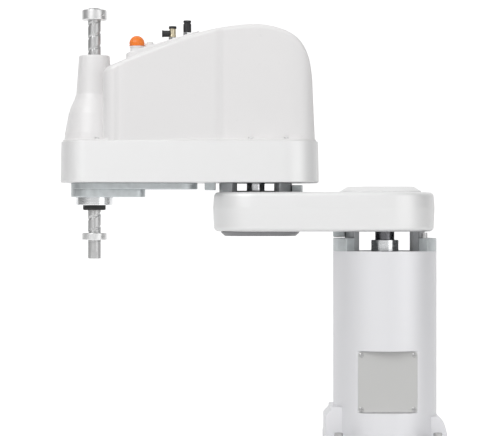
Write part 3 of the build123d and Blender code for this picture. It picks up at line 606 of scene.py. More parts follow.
def tint(wires: Wires, colour: Colour, tone: bpy.types.NodeSocket, marks: bpy.types.NodeSocket | None,
         mark_colour: Colour, strength: float) -> bpy.types.NodeSocket:
    """Return a colour scaled by a tone, with a second colour mixed in on marks."""
    scaled = wires.add("ShaderNodeVectorMath", operation="SCALE")
    scaled.inputs[0].default_value = colour
    wires.link(tone, scaled.inputs["Scale"])
    if marks is None:
        return scaled.outputs[0]
    mix = wires.add("ShaderNodeMix", data_type="RGBA")
    wires.link(wires.maths("MULTIPLY", marks, strength), mix.inputs["Factor"])
    wires.link(scaled.outputs[0], mix.inputs["A"])
    mix.inputs["B"].default_value = (*mark_colour, 1.0)
    return mix.outputs["Result"]


def raise_bump(wires: Wires, shader: bpy.types.Node, height: bpy.types.NodeSocket, strength: float,
               distance: float) -> None:
    """Feed a height to the shader's normal through a Bump node."""
    bump = wires.add("ShaderNodeBump")
    bump.inputs["Strength"].default_value = strength
    bump.inputs["Distance"].default_value = distance
    wires.link(height, bump.inputs["Height"])
    wires.link(bump.outputs["Normal"], shader.inputs["Normal"])


def soil(wires: Wires, place: bpy.types.NodeSocket, scale: float, amount: float) -> bpy.types.Node:
    """Return a placed soil group."""
    node = wires.add("ShaderNodeGroup", node_tree=soil_group())
    wires.link(place, node.inputs["Vector"])
    node.inputs["Scale"].default_value = scale
    node.inputs["Amount"].default_value = amount
    return node


@dataclass(frozen=True)
class Paint(Finish):
    """Satin paint or moulded plastic with orange peel, faint clouds and scuffs."""

    name: str
    colour: Colour
    roughness: float = 0.42
    coat: float = 0.0
    peel: float = 0.12
    peel_scale: float = 700.0
    clouds: float = 0.05
    scuffs: float = 0.12

    def wire(self, wires: Wires, shader: bpy.types.Node, place: bpy.types.NodeSocket) -> None:
        """Wire tone, scuffs, roughness and peel."""
        dirt = soil(wires, place, 7.0, self.clouds)
        dull = tuple(0.72 * part for part in self.colour)
        wires.link(tint(wires, self.colour, dirt.outputs["Tone"], dirt.outputs["Marks"], dull, self.scuffs),
                   shader.inputs["Base Color"])
        grain = wires.add("ShaderNodeGroup", node_tree=grain_group())
        wires.link(place, grain.inputs["Vector"])
        grain.inputs["Scale"].default_value = self.peel_scale
        grain.inputs["Coarse"].default_value = 0.8
        wires.link(wires.spread(grain.outputs["Height"], 0.5, 1.3, self.roughness - 0.05, self.roughness + 0.06),
                   shader.inputs["Roughness"])
        raise_bump(wires, shader, grain.outputs["Height"], self.peel, 0.0004)
        shader.inputs["Coat Weight"].default_value = self.coat
        shader.inputs["Coat Roughness"].default_value = 0.12


class Lay(Enum):
    """Direction of the tool lines: the stretch across X, Y and Z."""

    TURNED = (0.6, 0.6, 30.0)
    ALONG_X = (0.6, 30.0, 30.0)
    ALONG_Z = (30.0, 30.0, 0.6)
    CAST = (1.0, 1.0, 1.0)


@dataclass(frozen=True)
class Metal(Finish):
    """Bare metal with its tool lines or cast skin."""

    name: str
    colour: Colour
    roughness: float = 0.3
    lay: Lay = Lay.TURNED
    scale: float = 60.0
    depth: float = 0.08
    metallic: float = 1.0
    anisotropy: float = 0.0

    def wire(self, wires: Wires, shader: bpy.types.Node, place: bpy.types.NodeSocket) -> None:
        """Wire streaks, roughness and tool lines."""
        lines = wires.add("ShaderNodeGroup", node_tree=lay_group())
        wires.link(place, lines.inputs["Vector"])
        lines.inputs["Stretch"].default_value = self.lay.value
        lines.inputs["Scale"].default_value = self.scale * (8.0 if self.lay is Lay.CAST else 1.0)
        dirt = soil(wires, place, 12.0, 0.10)
        tone = wires.maths("MULTIPLY", dirt.outputs["Tone"],
                           wires.spread(lines.outputs["Streak"], 0.3, 0.7, 0.93, 1.05))
        dull = tuple(0.6 * part for part in self.colour)
        wires.link(tint(wires, self.colour, tone, dirt.outputs["Marks"], dull, 0.25), shader.inputs["Base Color"])
        wires.link(wires.spread(lines.outputs["Height"], 0.3, 0.7, max(0.04, self.roughness - 0.08),
                                self.roughness + 0.1), shader.inputs["Roughness"])
        raise_bump(wires, shader, lines.outputs["Height"], self.depth, 0.0003)
        shader.inputs["Metallic"].default_value = self.metallic
        shader.inputs["Anisotropic"].default_value = self.anisotropy


@dataclass(frozen=True)
class Lens(Finish):
    """Translucent coloured plastic."""

    name: str
    colour: Colour
    roughness: float = 0.15
    glow: float = 0.1

    def wire(self, wires: Wires, shader: bpy.types.Node, place: bpy.types.NodeSocket) -> None:
        """Wire the tone and set the inner light."""
        dirt = soil(wires, place, 60.0, 0.2)
        wires.link(tint(wires, self.colour, dirt.outputs["Tone"], None, self.colour, 0.0), shader.inputs["Base Color"])
        rough = wires.spread(dirt.outputs["Tone"], 0.9, 1.1, self.roughness, self.roughness + 0.1)
        wires.link(rough, shader.inputs["Roughness"])
        shader.inputs["Subsurface Weight"].default_value = 0.4
        shader.inputs["Subsurface Radius"].default_value = (0.01, 0.004, 0.002)
        shader.inputs["Emission Color"].default_value = (*self.colour, 1.0)
        shader.inputs["Emission Strength"].default_value = self.glow
        shader.inputs["Coat Weight"].default_value = 0.5
        shader.inputs["Coat Roughness"].default_value = 0.05


COLUMN_PAINT = Paint("column_paint", (0.55, 0.56, 0.57), roughness=0.34, coat=0.2)
PLATE_PAINT = Paint("plate_paint", (0.60, 0.60, 0.59), roughness=0.36, coat=0.15)
ARM_PAINT = Paint("arm_paint", (0.80, 0.79, 0.78), roughness=0.42)
SHELL = Paint("shell_plastic", (0.82, 0.81, 0.81), roughness=0.38, coat=0.1, peel=0.06)
# Painted shade: the pan under arm 1 has the arm's own paint, given a darker grey here for the shade it sits in
PAN_SHADE_PAINT = Paint("dark_cover", (0.60, 0.61, 0.61), roughness=0.5, clouds=0.2)
BLACK_PLASTIC = Paint("black_plastic", (0.018, 0.018, 0.02), roughness=0.45, clouds=0.3, scuffs=0.3)
MOTOR_BLACK = Paint("motor_black", (0.025, 0.025, 0.028), roughness=0.4, clouds=0.3)
BUTTON_PLASTIC = Paint("button_plastic", (0.72, 0.72, 0.70), roughness=0.35)
SEAL_RUBBER = Paint("seal_rubber", (0.10, 0.10, 0.10), roughness=0.7, peel=0.3)
BELT_RUBBER = Paint("belt_rubber", (0.02, 0.02, 0.02), roughness=0.8, peel=0.4)
CASTING = Metal("cast_aluminium", (0.52, 0.55, 0.56), roughness=0.4, lay=Lay.CAST, depth=0.25, metallic=0.75)
DARK_CASTING = Metal("dark_aluminium", (0.38, 0.39, 0.40), roughness=0.42, lay=Lay.CAST, depth=0.25, metallic=0.75)
MACHINED = Metal("machined_steel", (0.74, 0.75, 0.76), roughness=0.22)
SHAFT_STEEL = Metal("shaft_steel", (0.62, 0.62, 0.63), roughness=0.12, depth=0.03)
COLLAR_STEEL = Metal("collar_steel", (0.80, 0.80, 0.80), roughness=0.14)
SCREW_STEEL = Metal("screw_steel", (0.42, 0.42, 0.44), roughness=0.3)
TUBE_STEEL = Metal("tube_steel", (0.16, 0.16, 0.17), roughness=0.3)
# Painted shadow: near-black used only for the thin plate at joint 2, standing for the line of shade on arm 1's top
# round the joint
JOINT2_SHADOW_BLACK = Metal("black_oxide", (0.03, 0.03, 0.032), roughness=0.35, metallic=0.8)
PULLEY = Metal("pulley_aluminium", (0.6, 0.61, 0.63), roughness=0.3)
PANEL = Metal("panel_aluminium", (0.6, 0.61, 0.63), roughness=0.38, lay=Lay.ALONG_X)
BRASS = Metal("fitting_brass", (0.62, 0.52, 0.34), roughness=0.28)
ORANGE = Lens("lamp_orange", (0.85, 0.16, 0.01))


# Sub-assemblies


@dataclass
class Column:
    """The cast column with its foot, cover plate, rim segments and screws."""

    radius: float = 80.0
    bore: float = 70.0
    height: float = 298.0
    flat: float = 65.0
    foot_half: float = 94.0
    foot_thick: float = 16.0
    foot_corner: float = 20.0
    cheek_half: float = 42.0
    cheek_height: float = 45.0
    front_flat: tuple[float, float] = (53.0, 147.0)
    rear_flat: tuple[float, float] = (43.0, 193.0)
    screw_spacing: float = 150.0
    segment_inner: float = 63.5
    segment_height: float = 20.0

    def skin(self) -> Patch:
        """Return the turned column with its two milled flats, its bore and its open underside.

        The radius is R, cut back to flat / |sin a| where a flat's rows face that way.
        """
        count = 256
        angle = np.linspace(0, 2 * np.pi, count, endpoint=False)
        top = self.height
        heights = [0.0, 20.0]
        for low, high in (self.front_flat, self.rear_flat):
            heights += [low - 0.01, low, high, high + 0.01]
        heights = np.array(sorted(heights) + [top - 1.2])
        z = heights[:, None]
        radius = np.full((len(heights), count), self.radius)
        reach = self.flat / np.maximum(np.abs(np.sin(angle)), 1e-6)[None]
        for (low, high), side in ((self.front_flat, -1), (self.rear_flat, 1)):
            inside = (z >= low) & (z <= high) & (side * np.sin(angle)[None] > 0)
            radius = np.where(inside, np.minimum(radius, reach), radius)
        rim = soften([(self.radius, top - 1.2), (self.radius, top), (62.0, top), (62.0, 284.0), (49.7, 284.0),
                      (49.7, 269.0), (self.bore, 269.0)], 0.8)[1:]
        rows = [np.stack([radius * np.cos(angle), radius * np.sin(angle), z + 0 * radius], axis=-1)]
        rows.append(turned(rim, count=count))
        inner = turned(np.array([(self.bore - 12, 268.0), (self.bore - 12, 0.0)]), count=count)
        rows.append(inner)
        return grid_patch(np.vstack(rows), loop_rows=True)

    def foot(self) -> Patch:
        """Return the square foot plate with a rounded upper rim and a round opening."""
        outline = Outline.rectangle(0, 0, 2 * self.foot_half, 2 * self.foot_half, self.foot_corner, 256)
        rows = soften([(4, 0), (0, 0), (0, self.foot_thick), (6, self.foot_thick)], 1.8)
        outer = outline.wall(rows)
        way = np.arctan2(outline.at(0)[:, 1], outline.at(0)[:, 0])
        hole = [np.column_stack([r * np.cos(way), r * np.sin(way), np.full_like(way, z)])
                for r, z in ((self.radius - 2, self.foot_thick), (self.bore - 12, self.foot_thick - 1), (self.bore - 12, 0))]
        return grid_patch(np.concatenate([outer, np.stack(hole)]), loop_rows=True)

    def cheeks(self) -> Patch:
        """Return the two ribs that brace the column on its foot.

        The right one falls as a quarter ellipse, and the left one is upright with a chamfered step.
        """
        reach, step = self.foot_half, self.foot_half - self.radius
        turn = np.linspace(0, np.pi / 2, 14)
        curve = np.column_stack([self.radius - 2 + (step + 2) * np.cos(turn), self.cheek_height * np.sin(turn)])
        right = np.vstack([[(60.0, 0.0)], curve, [(60.0, self.cheek_height)]])
        left = [(-60, 0), (-60, self.cheek_height + 15), (-reach + 0.6 * step, self.cheek_height + 15),
                (-reach + 0.6 * step, self.cheek_height + 10), (-reach, self.cheek_height + 1), (-reach, 0)]
        return join([side_slab(right, self.cheek_half, 1.6), side_slab(left, self.cheek_half, 1.6)])

    def service_cover(self) -> Patch:
        """Return the front cover plate, standing on its flat, with rounded corners."""
        low, high = self.front_flat
        outline = Outline.rectangle(0, (low + high) / 2, 90.0, high - low - 2, 4.0)
        plate = slab(outline, self.flat, self.flat + 3.0, 0.7)
        return plate.mapped(lambda x, y, z: (x, -z, y))

    def panel_screws(self) -> Patch:
        """Return the four domed screws of each flat."""
        heads = []
        for (low, high), side, half in ((self.front_flat, -1, 40.0), (self.rear_flat, 1, 39.0)):
            for x in (-half, half):
                for z in (low + 6, high - 6):
                    head = pan_screw(3.5, 2.4)
                    heads.append(head.mapped(lambda a, b, c, s=side: (a, s * (c + self.flat + 3.0), b)).moved(x, 0, z))
        return join(heads)

    def build(self) -> None:
        """Make and dress everything that stands still."""
        make_piece("column_shell", join([self.skin(), self.foot(), self.cheeks()]), COLUMN_PAINT, Body.BASE,
                   ["base_column"])
        make_piece("front_plate", self.service_cover(), PLATE_PAINT, Body.BASE, ["service_cover"])
        make_piece("plate_screws", self.panel_screws(), SCREW_STEEL, Body.BASE, ["column_panel_screws"])
        half = self.screw_spacing / 2
        screws = [cap_screw(sx * half, sy * half, self.foot_thick, 6.5, 8.0) for sx in (-1, 1) for sy in (-1, 1)]
        make_piece("foot_bolts", join(screws), SCREW_STEEL, Body.BASE, ["foot_screws"])
        high = self.height + self.segment_height
        rims = [sector(self.radius, self.segment_inner, middle, 40, self.height, high) for middle in (0, 180)]
        make_piece("rim_segments", join(rims), CASTING, Body.BASE, ["column_rim_segments"])
        dress(MACHINED, "joint1_reducer", "joint1_bearing")
        dress(MOTOR_BLACK, "joint1_motor")
        dress(SCREW_STEEL, "joint1_stop_pins")
        dress(PANEL, "connector_panel")
        dress(BLACK_PLASTIC, "power_connector", "signal_connector", "user_connector")
        dress(BRASS, "base_air_fittings")


@dataclass
class LowerArm:
    """Arm 1 with its covers, the output flange below it and joint 2's lower half."""

    root_radius: float = 77.0
    tip_radius: float = 66.0
    edge: float = 7.0
    draft: float = 1.2
    parting: float = 364.0
    top_cover: tuple[float, float, float, float] = (124.0, 112.0, 40.0, 8.4)
    low_cover: tuple[float, float, float, float] = (121.0, 104.0, 36.0, 7.0)

    def casting(self) -> Patch:
        """Return the tapered beam, drafted both ways from its parting line, with round rims."""
        outline = Outline.around([(0, 0, self.root_radius), (JOINT2_X, 0, self.tip_radius)], 320)
        turn = np.linspace(0, np.pi / 2, 9)
        edge, draft = self.edge, self.draft
        low = np.column_stack([draft + edge * (1 - np.sin(turn)), ARM1_Z + edge * (1 - np.cos(turn))])
        high = np.column_stack([draft + edge * (1 - np.cos(turn)), ARM1_TOP - edge * (1 - np.sin(turn))])
        rows = np.vstack([[(draft + edge + 3, ARM1_Z)], low, [(0.1, self.parting - 2), (0, self.parting),
                          (0.1, self.parting + 2)], high, [(draft + edge + 3, ARM1_TOP)]])
        return grid_patch(outline.wall(rows), caps=True)

    def shallow(self, x: float, sizes: tuple[float, float, float, float], slope: float, low: float,
                down: bool) -> Patch:
        """Return a low cover whose rim slopes in, softened along its upper edge.

        Args:
            x: Centre.
            sizes: Length, width, corner radius and height.
            slope: Inset at its face.
            low: Level of its rim.
            down: Whether it hangs below that level.
        """
        length, width, corner, height = sizes
        outline = Outline.rectangle(x, 0, length, width, corner, 200)
        way = -1 if down else 1
        rows = soften([(3, low), (0, low), (0, low + way * 1.5), (slope, low + way * height),
                       (slope + 5, low + way * height)], 1.6)
        return grid_patch(outline.wall(rows), caps=True)

    def build(self) -> None:
        """Make and dress arm 1."""
        make_piece("arm1_beam", self.casting(), ARM_PAINT, Body.ARM1, ["arm1_casting"])
        make_piece("arm1_lid", self.shallow(-7.0, self.top_cover, 11.0, ARM1_TOP, False), ARM_PAINT, Body.ARM1,
                   ["arm1_top_cover"])
        # The pan's darker grey is painted shade; the real pan has the arm's paint
        make_piece("arm1_pan", self.shallow(JOINT2_X + 7, self.low_cover, 6.0, ARM1_Z, True), PAN_SHADE_PAINT, Body.ARM1,
                   ["arm1_bottom_cover"])
        arcs = [sector(61.7, 52.0, middle, 38, 296.0, ARM1_Z + 0.5) for middle in (0, 180)]
        arcs.append(ring(61.7, 20.0, 288.9, 297.4, cut=0.8))
        make_piece("output_arcs", join(arcs), DARK_CASTING, Body.ARM1, ["joint1_output_flange"])
        make_piece("hub_collar", ring(21.5, 10.0, 297.4, 315.0, cut=0.8), MACHINED, Body.ARM1,
                   ["joint1_hub_collar"])
        make_piece("hub_tube", ring(15.0, 10.0, 315.0, 328.4), TUBE_STEEL, Body.ARM1,
                   ["joint1_cable_tube"])
        lug = side_slab([(-80, 319.5), (-62, 319.5), (-62, ARM1_Z + 1), (-80, ARM1_Z + 1)], 9.0, 1.2)
        make_piece("stop_lug1", lug, CASTING, Body.ARM1, ["joint1_stop_lug"])
        # This seal plate is a painted shadow: a near-black ring laid on arm 1's top where the joint casts a line of
        # shade
        make_piece("seal_plate", ring(43.5, 14.2, ARM1_TOP, ARM1_TOP + 2, JOINT2_X), JOINT2_SHADOW_BLACK, Body.ARM1,
                   ["joint2_seal_plate"])
        arcs = [sector(56.5, 44.5, middle, 50, ARM1_TOP, 402.4, JOINT2_X) for middle in (0, 180)]
        arcs.append(ring(47.5, 9.5, 402.4, 410.7, JOINT2_X, cut=0.5))
        make_piece("joint2_arcs", join(arcs), DARK_CASTING, Body.ARM1, ["joint2_output_flange"])
        make_piece("joint2_post", ring(14.0, 9.0, ARM1_TOP, 402.4, JOINT2_X), MACHINED, Body.ARM1,
                   ["joint2_cable_tube"])
        stop = sector(73.0, 58.0, 0, 16.5, ARM1_TOP, 399.5, JOINT2_X, cut=1.0)
        make_piece("stop_block2", stop, CASTING, Body.ARM1, ["joint2_stop_block"])


@dataclass
class UpperArm:
    """Arm 2: the cast band, the moulded cover with its nose and hood, and the plate on its slope."""

    tip_half: float = 58.0
    heel_half: float = 68.0
    tip_reach: float = 51.0
    heel_reach: float = 97.5
    tip_radius: float = 45.0
    heel_radius: float = 55.0
    draft: float = 1.2
    crown: float = 645.0
    neck_top: float = 600.3
    hood_half: float = 58.0
    hood_heel_half: float = 53.4
    front: float = -434.0
    heel: float = -109.0
    heel_corner: float = 44.0
    front_corner: float = 20.0
    roof_edge: float = 8.0
    step: float = -262.0
    step_run: float = 14.0
    crease: float = -404.0
    crease_depth: float = 1.3

    def band_outline(self) -> Outline:
        """Return the plan of the cast band."""
        tip_x = SHAFT_X - self.tip_reach + self.tip_radius
        heel_x = JOINT2_X + self.heel_reach - self.heel_radius
        circles = [(tip_x, s * (self.tip_half - self.tip_radius), self.tip_radius) for s in (-1, 1)]
        circles += [(heel_x, s * (self.heel_half - self.heel_radius), self.heel_radius) for s in (-1, 1)]
        return Outline.around(circles, 360)

    def band(self) -> Patch:
        """Return the cast band, drafted upwards, with a round lower rim and a narrow upper one."""
        rows = np.vstack([soften([(14, ARM2_Z), (0, ARM2_Z), (0.06, ARM2_Z + 6)], 2.6, 6)[:-1],
                          [(0.1, ARM2_Z + 6), (0.6, ARM2_Z + 32)],
                          soften([(self.draft - 0.1, SEAM_Z - 6), (self.draft, SEAM_Z), (14, SEAM_Z)], 0.9)])
        return grid_patch(self.band_outline().wall(rows), caps=True)

    def half_width(self, x: Array) -> Array:
        """Return the hood's half width: wide over the drives, narrower behind a step and before a crease."""
        t = np.clip((x - self.step) / self.step_run, 0, 1)
        strip = self.crease_depth * np.clip((self.crease - x) / 1.5, 0, 1)
        return self.hood_half - strip + (self.hood_heel_half - self.hood_half) * t * t * (3 - 2 * t)

    def roof(self, x: Array) -> Array:
        """Return the roof's height: a long slope to the nose, a crown and a round heel."""
        crown = (JOINT2_X - 1, self.crown)
        slope = clamped_spline([crown, (SHAFT_X + 102, self.crown - 33.5), (SHAFT_X - 10, self.crown - 79)],
                               (-1, 0), (-1, -0.42))
        round_end = clamped_spline([(self.heel - 4, self.crown - 89), (self.heel - 22, self.crown - 26), crown],
                                   (-0.045, 1), (-1, 0))
        line = np.vstack([slope[::-1], round_end[::-1][1:], [(self.heel, SEAM_Z)]])
        return np.interp(x, line[:, 0], line[:, 1])

    def rim_distance(self, x: Array, y: Array) -> Array:
        """Return the distance from the hood's upright walls: its sides, front corners and heel corners."""
        half = self.half_width(x)
        side = np.minimum(half - np.abs(y), x - self.front)
        across, along = self.front + self.front_corner - x, np.abs(y) - (half - self.front_corner)
        side = np.where((across > 0) & (along > 0), self.front_corner - np.hypot(across, along), side)
        middle_x = JOINT2_X + self.heel_reach - self.heel_corner
        across, along = x - middle_x, np.abs(y) - (self.hood_heel_half - self.heel_corner)
        round_heel = self.heel_corner - np.hypot(across, along)
        return np.maximum(np.where((across > 0) & (along > 0), round_heel, side), 0)

    def hood(self) -> Patch:
        """Return the hood as rings that run from its wall's foot up and in to the centre line.

        A ring's point is P + t (Q - P), with P on the plan outline and Q on the centre line, at the height
        roof(x) - (e - sqrt(e^2 - (e - d)^2)), where d is the distance from the wall and e the edge radius.
        """
        corner = np.linspace(0, np.pi / 2, 16)
        front = np.column_stack([np.full(12, self.front), np.linspace(0, self.hood_half - self.front_corner, 12, endpoint=False)])
        bend = np.column_stack([self.front + self.front_corner * (1 - np.cos(corner)),
                                self.hood_half - self.front_corner * (1 - np.sin(corner))])
        middle_x = JOINT2_X + self.heel_reach - self.heel_corner
        x = np.linspace(self.front + self.front_corner, middle_x, 90)[1:-1]
        side = np.column_stack([x, self.half_width(x)])
        arc = np.column_stack([middle_x + self.heel_corner * np.sin(corner),
                               self.hood_heel_half - self.heel_corner * (1 - np.cos(corner))])
        arc = arc[arc[:, 0] < self.heel]
        last = self.hood_heel_half - self.heel_corner + np.sqrt(self.heel_corner ** 2 - (self.heel - middle_x) ** 2)
        flat = np.column_stack([np.full(12, self.heel), np.linspace(last, 0, 12)])
        upper = np.vstack([front, bend, side, arc, flat])
        outline = np.vstack([upper, (upper * [1, -1])[-2:0:-1]])
        target = np.column_stack([np.clip(outline[:, 0], self.front + 50, self.heel - 60), np.zeros(len(outline))])
        t = np.array([0, .003, .008, .015, .025, .04, .055, .075, .1, .13, .165, .205, .25, .3, .36, .43, .52, .64, .78, .9, 1])
        plan = outline[None] + t[:, None, None] * (target - outline)[None]
        d = np.minimum(self.rim_distance(plan[..., 0], plan[..., 1]), self.roof_edge)
        fall = self.roof_edge - np.sqrt(self.roof_edge ** 2 - (self.roof_edge - d) ** 2)
        z = np.maximum(self.roof(plan[..., 0]) - fall, SEAM_Z - 1)
        wall = SEAM_Z - 1 + np.linspace(0, 1, 8)[:-1, None] * (z[0] - SEAM_Z + 1)[None]
        low = np.concatenate([np.broadcast_to(outline[None], (7,) + outline.shape), wall[..., None]], axis=2)
        return grid_patch(np.concatenate([low, np.concatenate([plan, z[..., None]], axis=2)]))

    def nose(self) -> Patch:
        """Return the S-curved nose turned about the shaft's axis, with its open neck."""
        z = SEAM_Z - 1
        points = [(40, z), (46.6, z), (45.4, 480), (42.6, 495), (39.8, 510), (37.0, 519), (34.4, 525), (31.2, 532),
                  (28.4, 540), (26.6, 560), (24.0, 598.4), (23.0, self.neck_top), (13.5, self.neck_top),
                  (12.0, self.neck_top - 1.5), (12.0, self.neck_top - 14)]
        return grid_patch(turned(soften(points, 1.6, 4), SHAFT_X, 0, 128))

    def flange(self) -> Patch:
        """Return the thin flange that the cover stands on."""
        outline = self.band_outline()
        rows = soften([(10, SEAM_Z), (4, SEAM_Z), (4, SEAM_Z + 3), (16, SEAM_Z + 3)], 0.8)
        return grid_patch(outline.wall(rows), caps=True)

    def plate(self) -> Patch:
        """Return the raised plate on the slope: a round-cornered wall from the roof to a flat, tilted top."""
        start, end, rise, low = SHAFT_X + 51, SHAFT_X + 164, 34.5 / 113, self.crown - 43.8
        outline = Outline.rectangle((start + end) / 2, 0, end - start, 88.0, 12.0, 200)
        grid = outline.wall(np.array([(0.0, 0.0), (0, 1), (0.25, 2), (0.9, 3), (2.0, 4), (12.0, 5)]))
        top = low + rise * (grid[..., 0] - start)
        buried = self.roof(grid[..., 0]) - 3
        lift = np.array([0, -1.9, -0.9, -0.25, 0, 0])[:, None]
        z = np.where(np.arange(6)[:, None] == 0, np.minimum(buried, top - 2.5), np.maximum(top + lift, buried))
        grid = np.concatenate([grid[..., :2], z[..., None]], axis=2)
        return grid_patch(grid, caps=True)

    def screws(self) -> Patch:
        """Return the screws on the cover's flange."""
        places = [(SHAFT_X + 8, self.tip_half - 8), (JOINT2_X - 8, self.heel_half - 9), (JOINT2_X + 46, self.heel_half - 8)]
        return join([cap_screw(x, s * y, SEAM_Z + 3, 3.5, 2.4) for x, y in places for s in (-1, 1)])

    def build(self) -> None:
        """Make and dress arm 2's outside."""
        make_piece("arm2_band", self.band(), ARM_PAINT, Body.ARM2, ["arm2_casting"])
        make_piece("arm2_shell", join([self.hood(), self.nose(), self.flange()]), SHELL, Body.ARM2,
                   ["arm2_cover"])
        make_piece("slope_plate", self.plate(), SHELL, Body.ARM2, ["fitting_plate"])
        make_piece("cover_bolts", self.screws(), COLLAR_STEEL, Body.ARM2, ["arm2_cover_screws"])
        lug = side_slab([(-279, 391.6), (-262, 391.6), (-262, ARM2_Z + 1), (-279, ARM2_Z + 1)], 9.0, 1.2)
        make_piece("stop_lug2", lug, CASTING, Body.ARM2, ["joint2_stop_lug"])


@dataclass
class TopFittings:
    """Lamp, brake-release button and air fittings on the sloping plate."""

    start: float = SHAFT_X + 51
    low: float = 601.2
    rise: float = 34.5 / 113

    def seat(self, x: float) -> float:
        """Return the plate's height at a place."""
        return self.low + self.rise * (x - self.start)

    def lamp(self) -> None:
        """Make the lamp: a white socket and a fluted orange dome.

        The dome's radius swings by 1.2% with 28 flutes below its round top.
        """
        x = SHAFT_X + 66
        base = self.seat(x) - 3
        dome = base + 12.5
        profile = soften([(6.0, base - 3), (10.5, base - 3), (10.5, base + 9.5), (11.4, base + 10), (11.4, dome),
                          (8.0, dome)], 0.6)
        make_piece("lamp_socket", grid_patch(turned(profile, x), caps=True), SHELL, Body.ARM2,
                   ["lamp_base"])
        turn = np.linspace(0, np.pi / 2, 14)
        bulb = np.vstack([[(10.5, dome), (12.0, dome), (12.0, dome + 0.8), (11.4, dome + 1.2)],
                          np.column_stack([np.maximum(11.8 * np.cos(turn), 0.02), dome + 4 + 11.9 * np.sin(turn)])])
        fluted = turned(bulb, x, 0, 168)
        angle = np.linspace(0, 2 * np.pi, 168, endpoint=False)
        weight = np.where(np.arange(len(bulb)) > 2, np.clip(bulb[:, 0] / 12, 0, 1), 0)[:, None]
        factor = 1 - 0.012 * weight * (1 + np.cos(28 * angle))[None]
        fluted[..., 0] = x + (fluted[..., 0] - x) * factor
        fluted[..., 1] *= factor
        make_piece("lamp_dome", grid_patch(fluted, caps=True), ORANGE, Body.ARM2, ["lamp_lens"])

    def button(self) -> None:
        """Make the brake-release button and its housing."""
        x = SHAFT_X + 86
        seat = self.seat(x)
        housing = soften([(5.4, seat - 3), (8.0, seat - 3), (8.0, seat + 7), (5.4, seat + 7), (5.4, seat)], 0.7)
        make_piece("button_ring", grid_patch(turned(housing, x), caps=True), SHELL, Body.ARM2,
                   ["brake_button_housing"])
        foot = self.seat(x + 5) + 2.2
        top = soften([(4.9, foot), (5.0, seat + 9.5), (3.6, seat + 9.5), (0.02, seat + 8.9)], 0.8)
        make_piece("button_cap", grid_patch(turned(np.vstack([[(0.02, foot)], top]), x), caps=True), BUTTON_PLASTIC,
                   Body.BUTTON, ["brake_release_button"])

    def fittings(self) -> None:
        """Make the elbow and the straight push-in fitting on their hexagons."""
        elbow, straight = SHAFT_X + 121, SHAFT_X + 144
        nuts, seat = [], self.seat(elbow)
        for x, y in ((elbow, 8.0), (straight, 0.0)):
            low = self.seat(x)
            nut = soften([(3, low - 3), (7, low - 3), (7, low + 6.4), (6.2, low + 7), (3, low + 7)], 0.5)
            nuts.append(grid_patch(turned(nut, x, y, 96, hexagon(0.87)), caps=True))
        make_piece("hex_nuts", join(nuts), MACHINED, Body.ARM2, ["fitting_nuts"])
        body = soften([(3, seat + 7), (5.5, seat + 7), (5.5, seat + 10), (5.1, seat + 10.6), (5.1, seat + 19.4),
                       (5.5, seat + 20), (3, seat + 20)], 0.4)
        make_piece("elbow_body", grid_patch(turned(body, elbow, 8.0), caps=True), BRASS, Body.ARM2,
                   ["elbow_fitting"])
        sleeve = ring(5.0, 3.0, 0.0, 12.0, cut=0.6, count=64)
        sleeve = sleeve.mapped(lambda x, y, z: (elbow - 16 + z, 8.0 + y, seat + 12.5 + x))
        grip = ring(5.6, 3.2, 0.0, 2.2, cut=0.5, count=64)
        grip = grip.mapped(lambda x, y, z: (elbow - 16.4 + z, 8.0 + y, seat + 12.5 + x))
        cap = soften([(0.02, seat + 20), (6, seat + 20), (6, seat + 24), (4, seat + 24), (0.02, seat + 24)], 0.7)
        make_piece("elbow_arm", join([sleeve, grip, grid_patch(turned(cap, elbow, 8.0))]), BLACK_PLASTIC, Body.ARM2,
                   ["elbow_outlet"])
        low = self.seat(straight) + 7
        sleeve = soften([(6.2, low), (6.2, low + 12.5), (5.2, low + 13.3), (5.2, low + 14.5), (6.0, low + 15.2),
                         (6.0, low + 18), (3.0, low + 18), (3.0, low)], 0.4, closed=True)
        make_piece("straight_body", grid_patch(turned(sleeve, straight), loop_rows=True), BLACK_PLASTIC, Body.ARM2,
                   ["straight_fitting"])

    def build(self) -> None:
        """Make everything on the plate."""
        self.lamp()
        self.button()
        self.fittings()


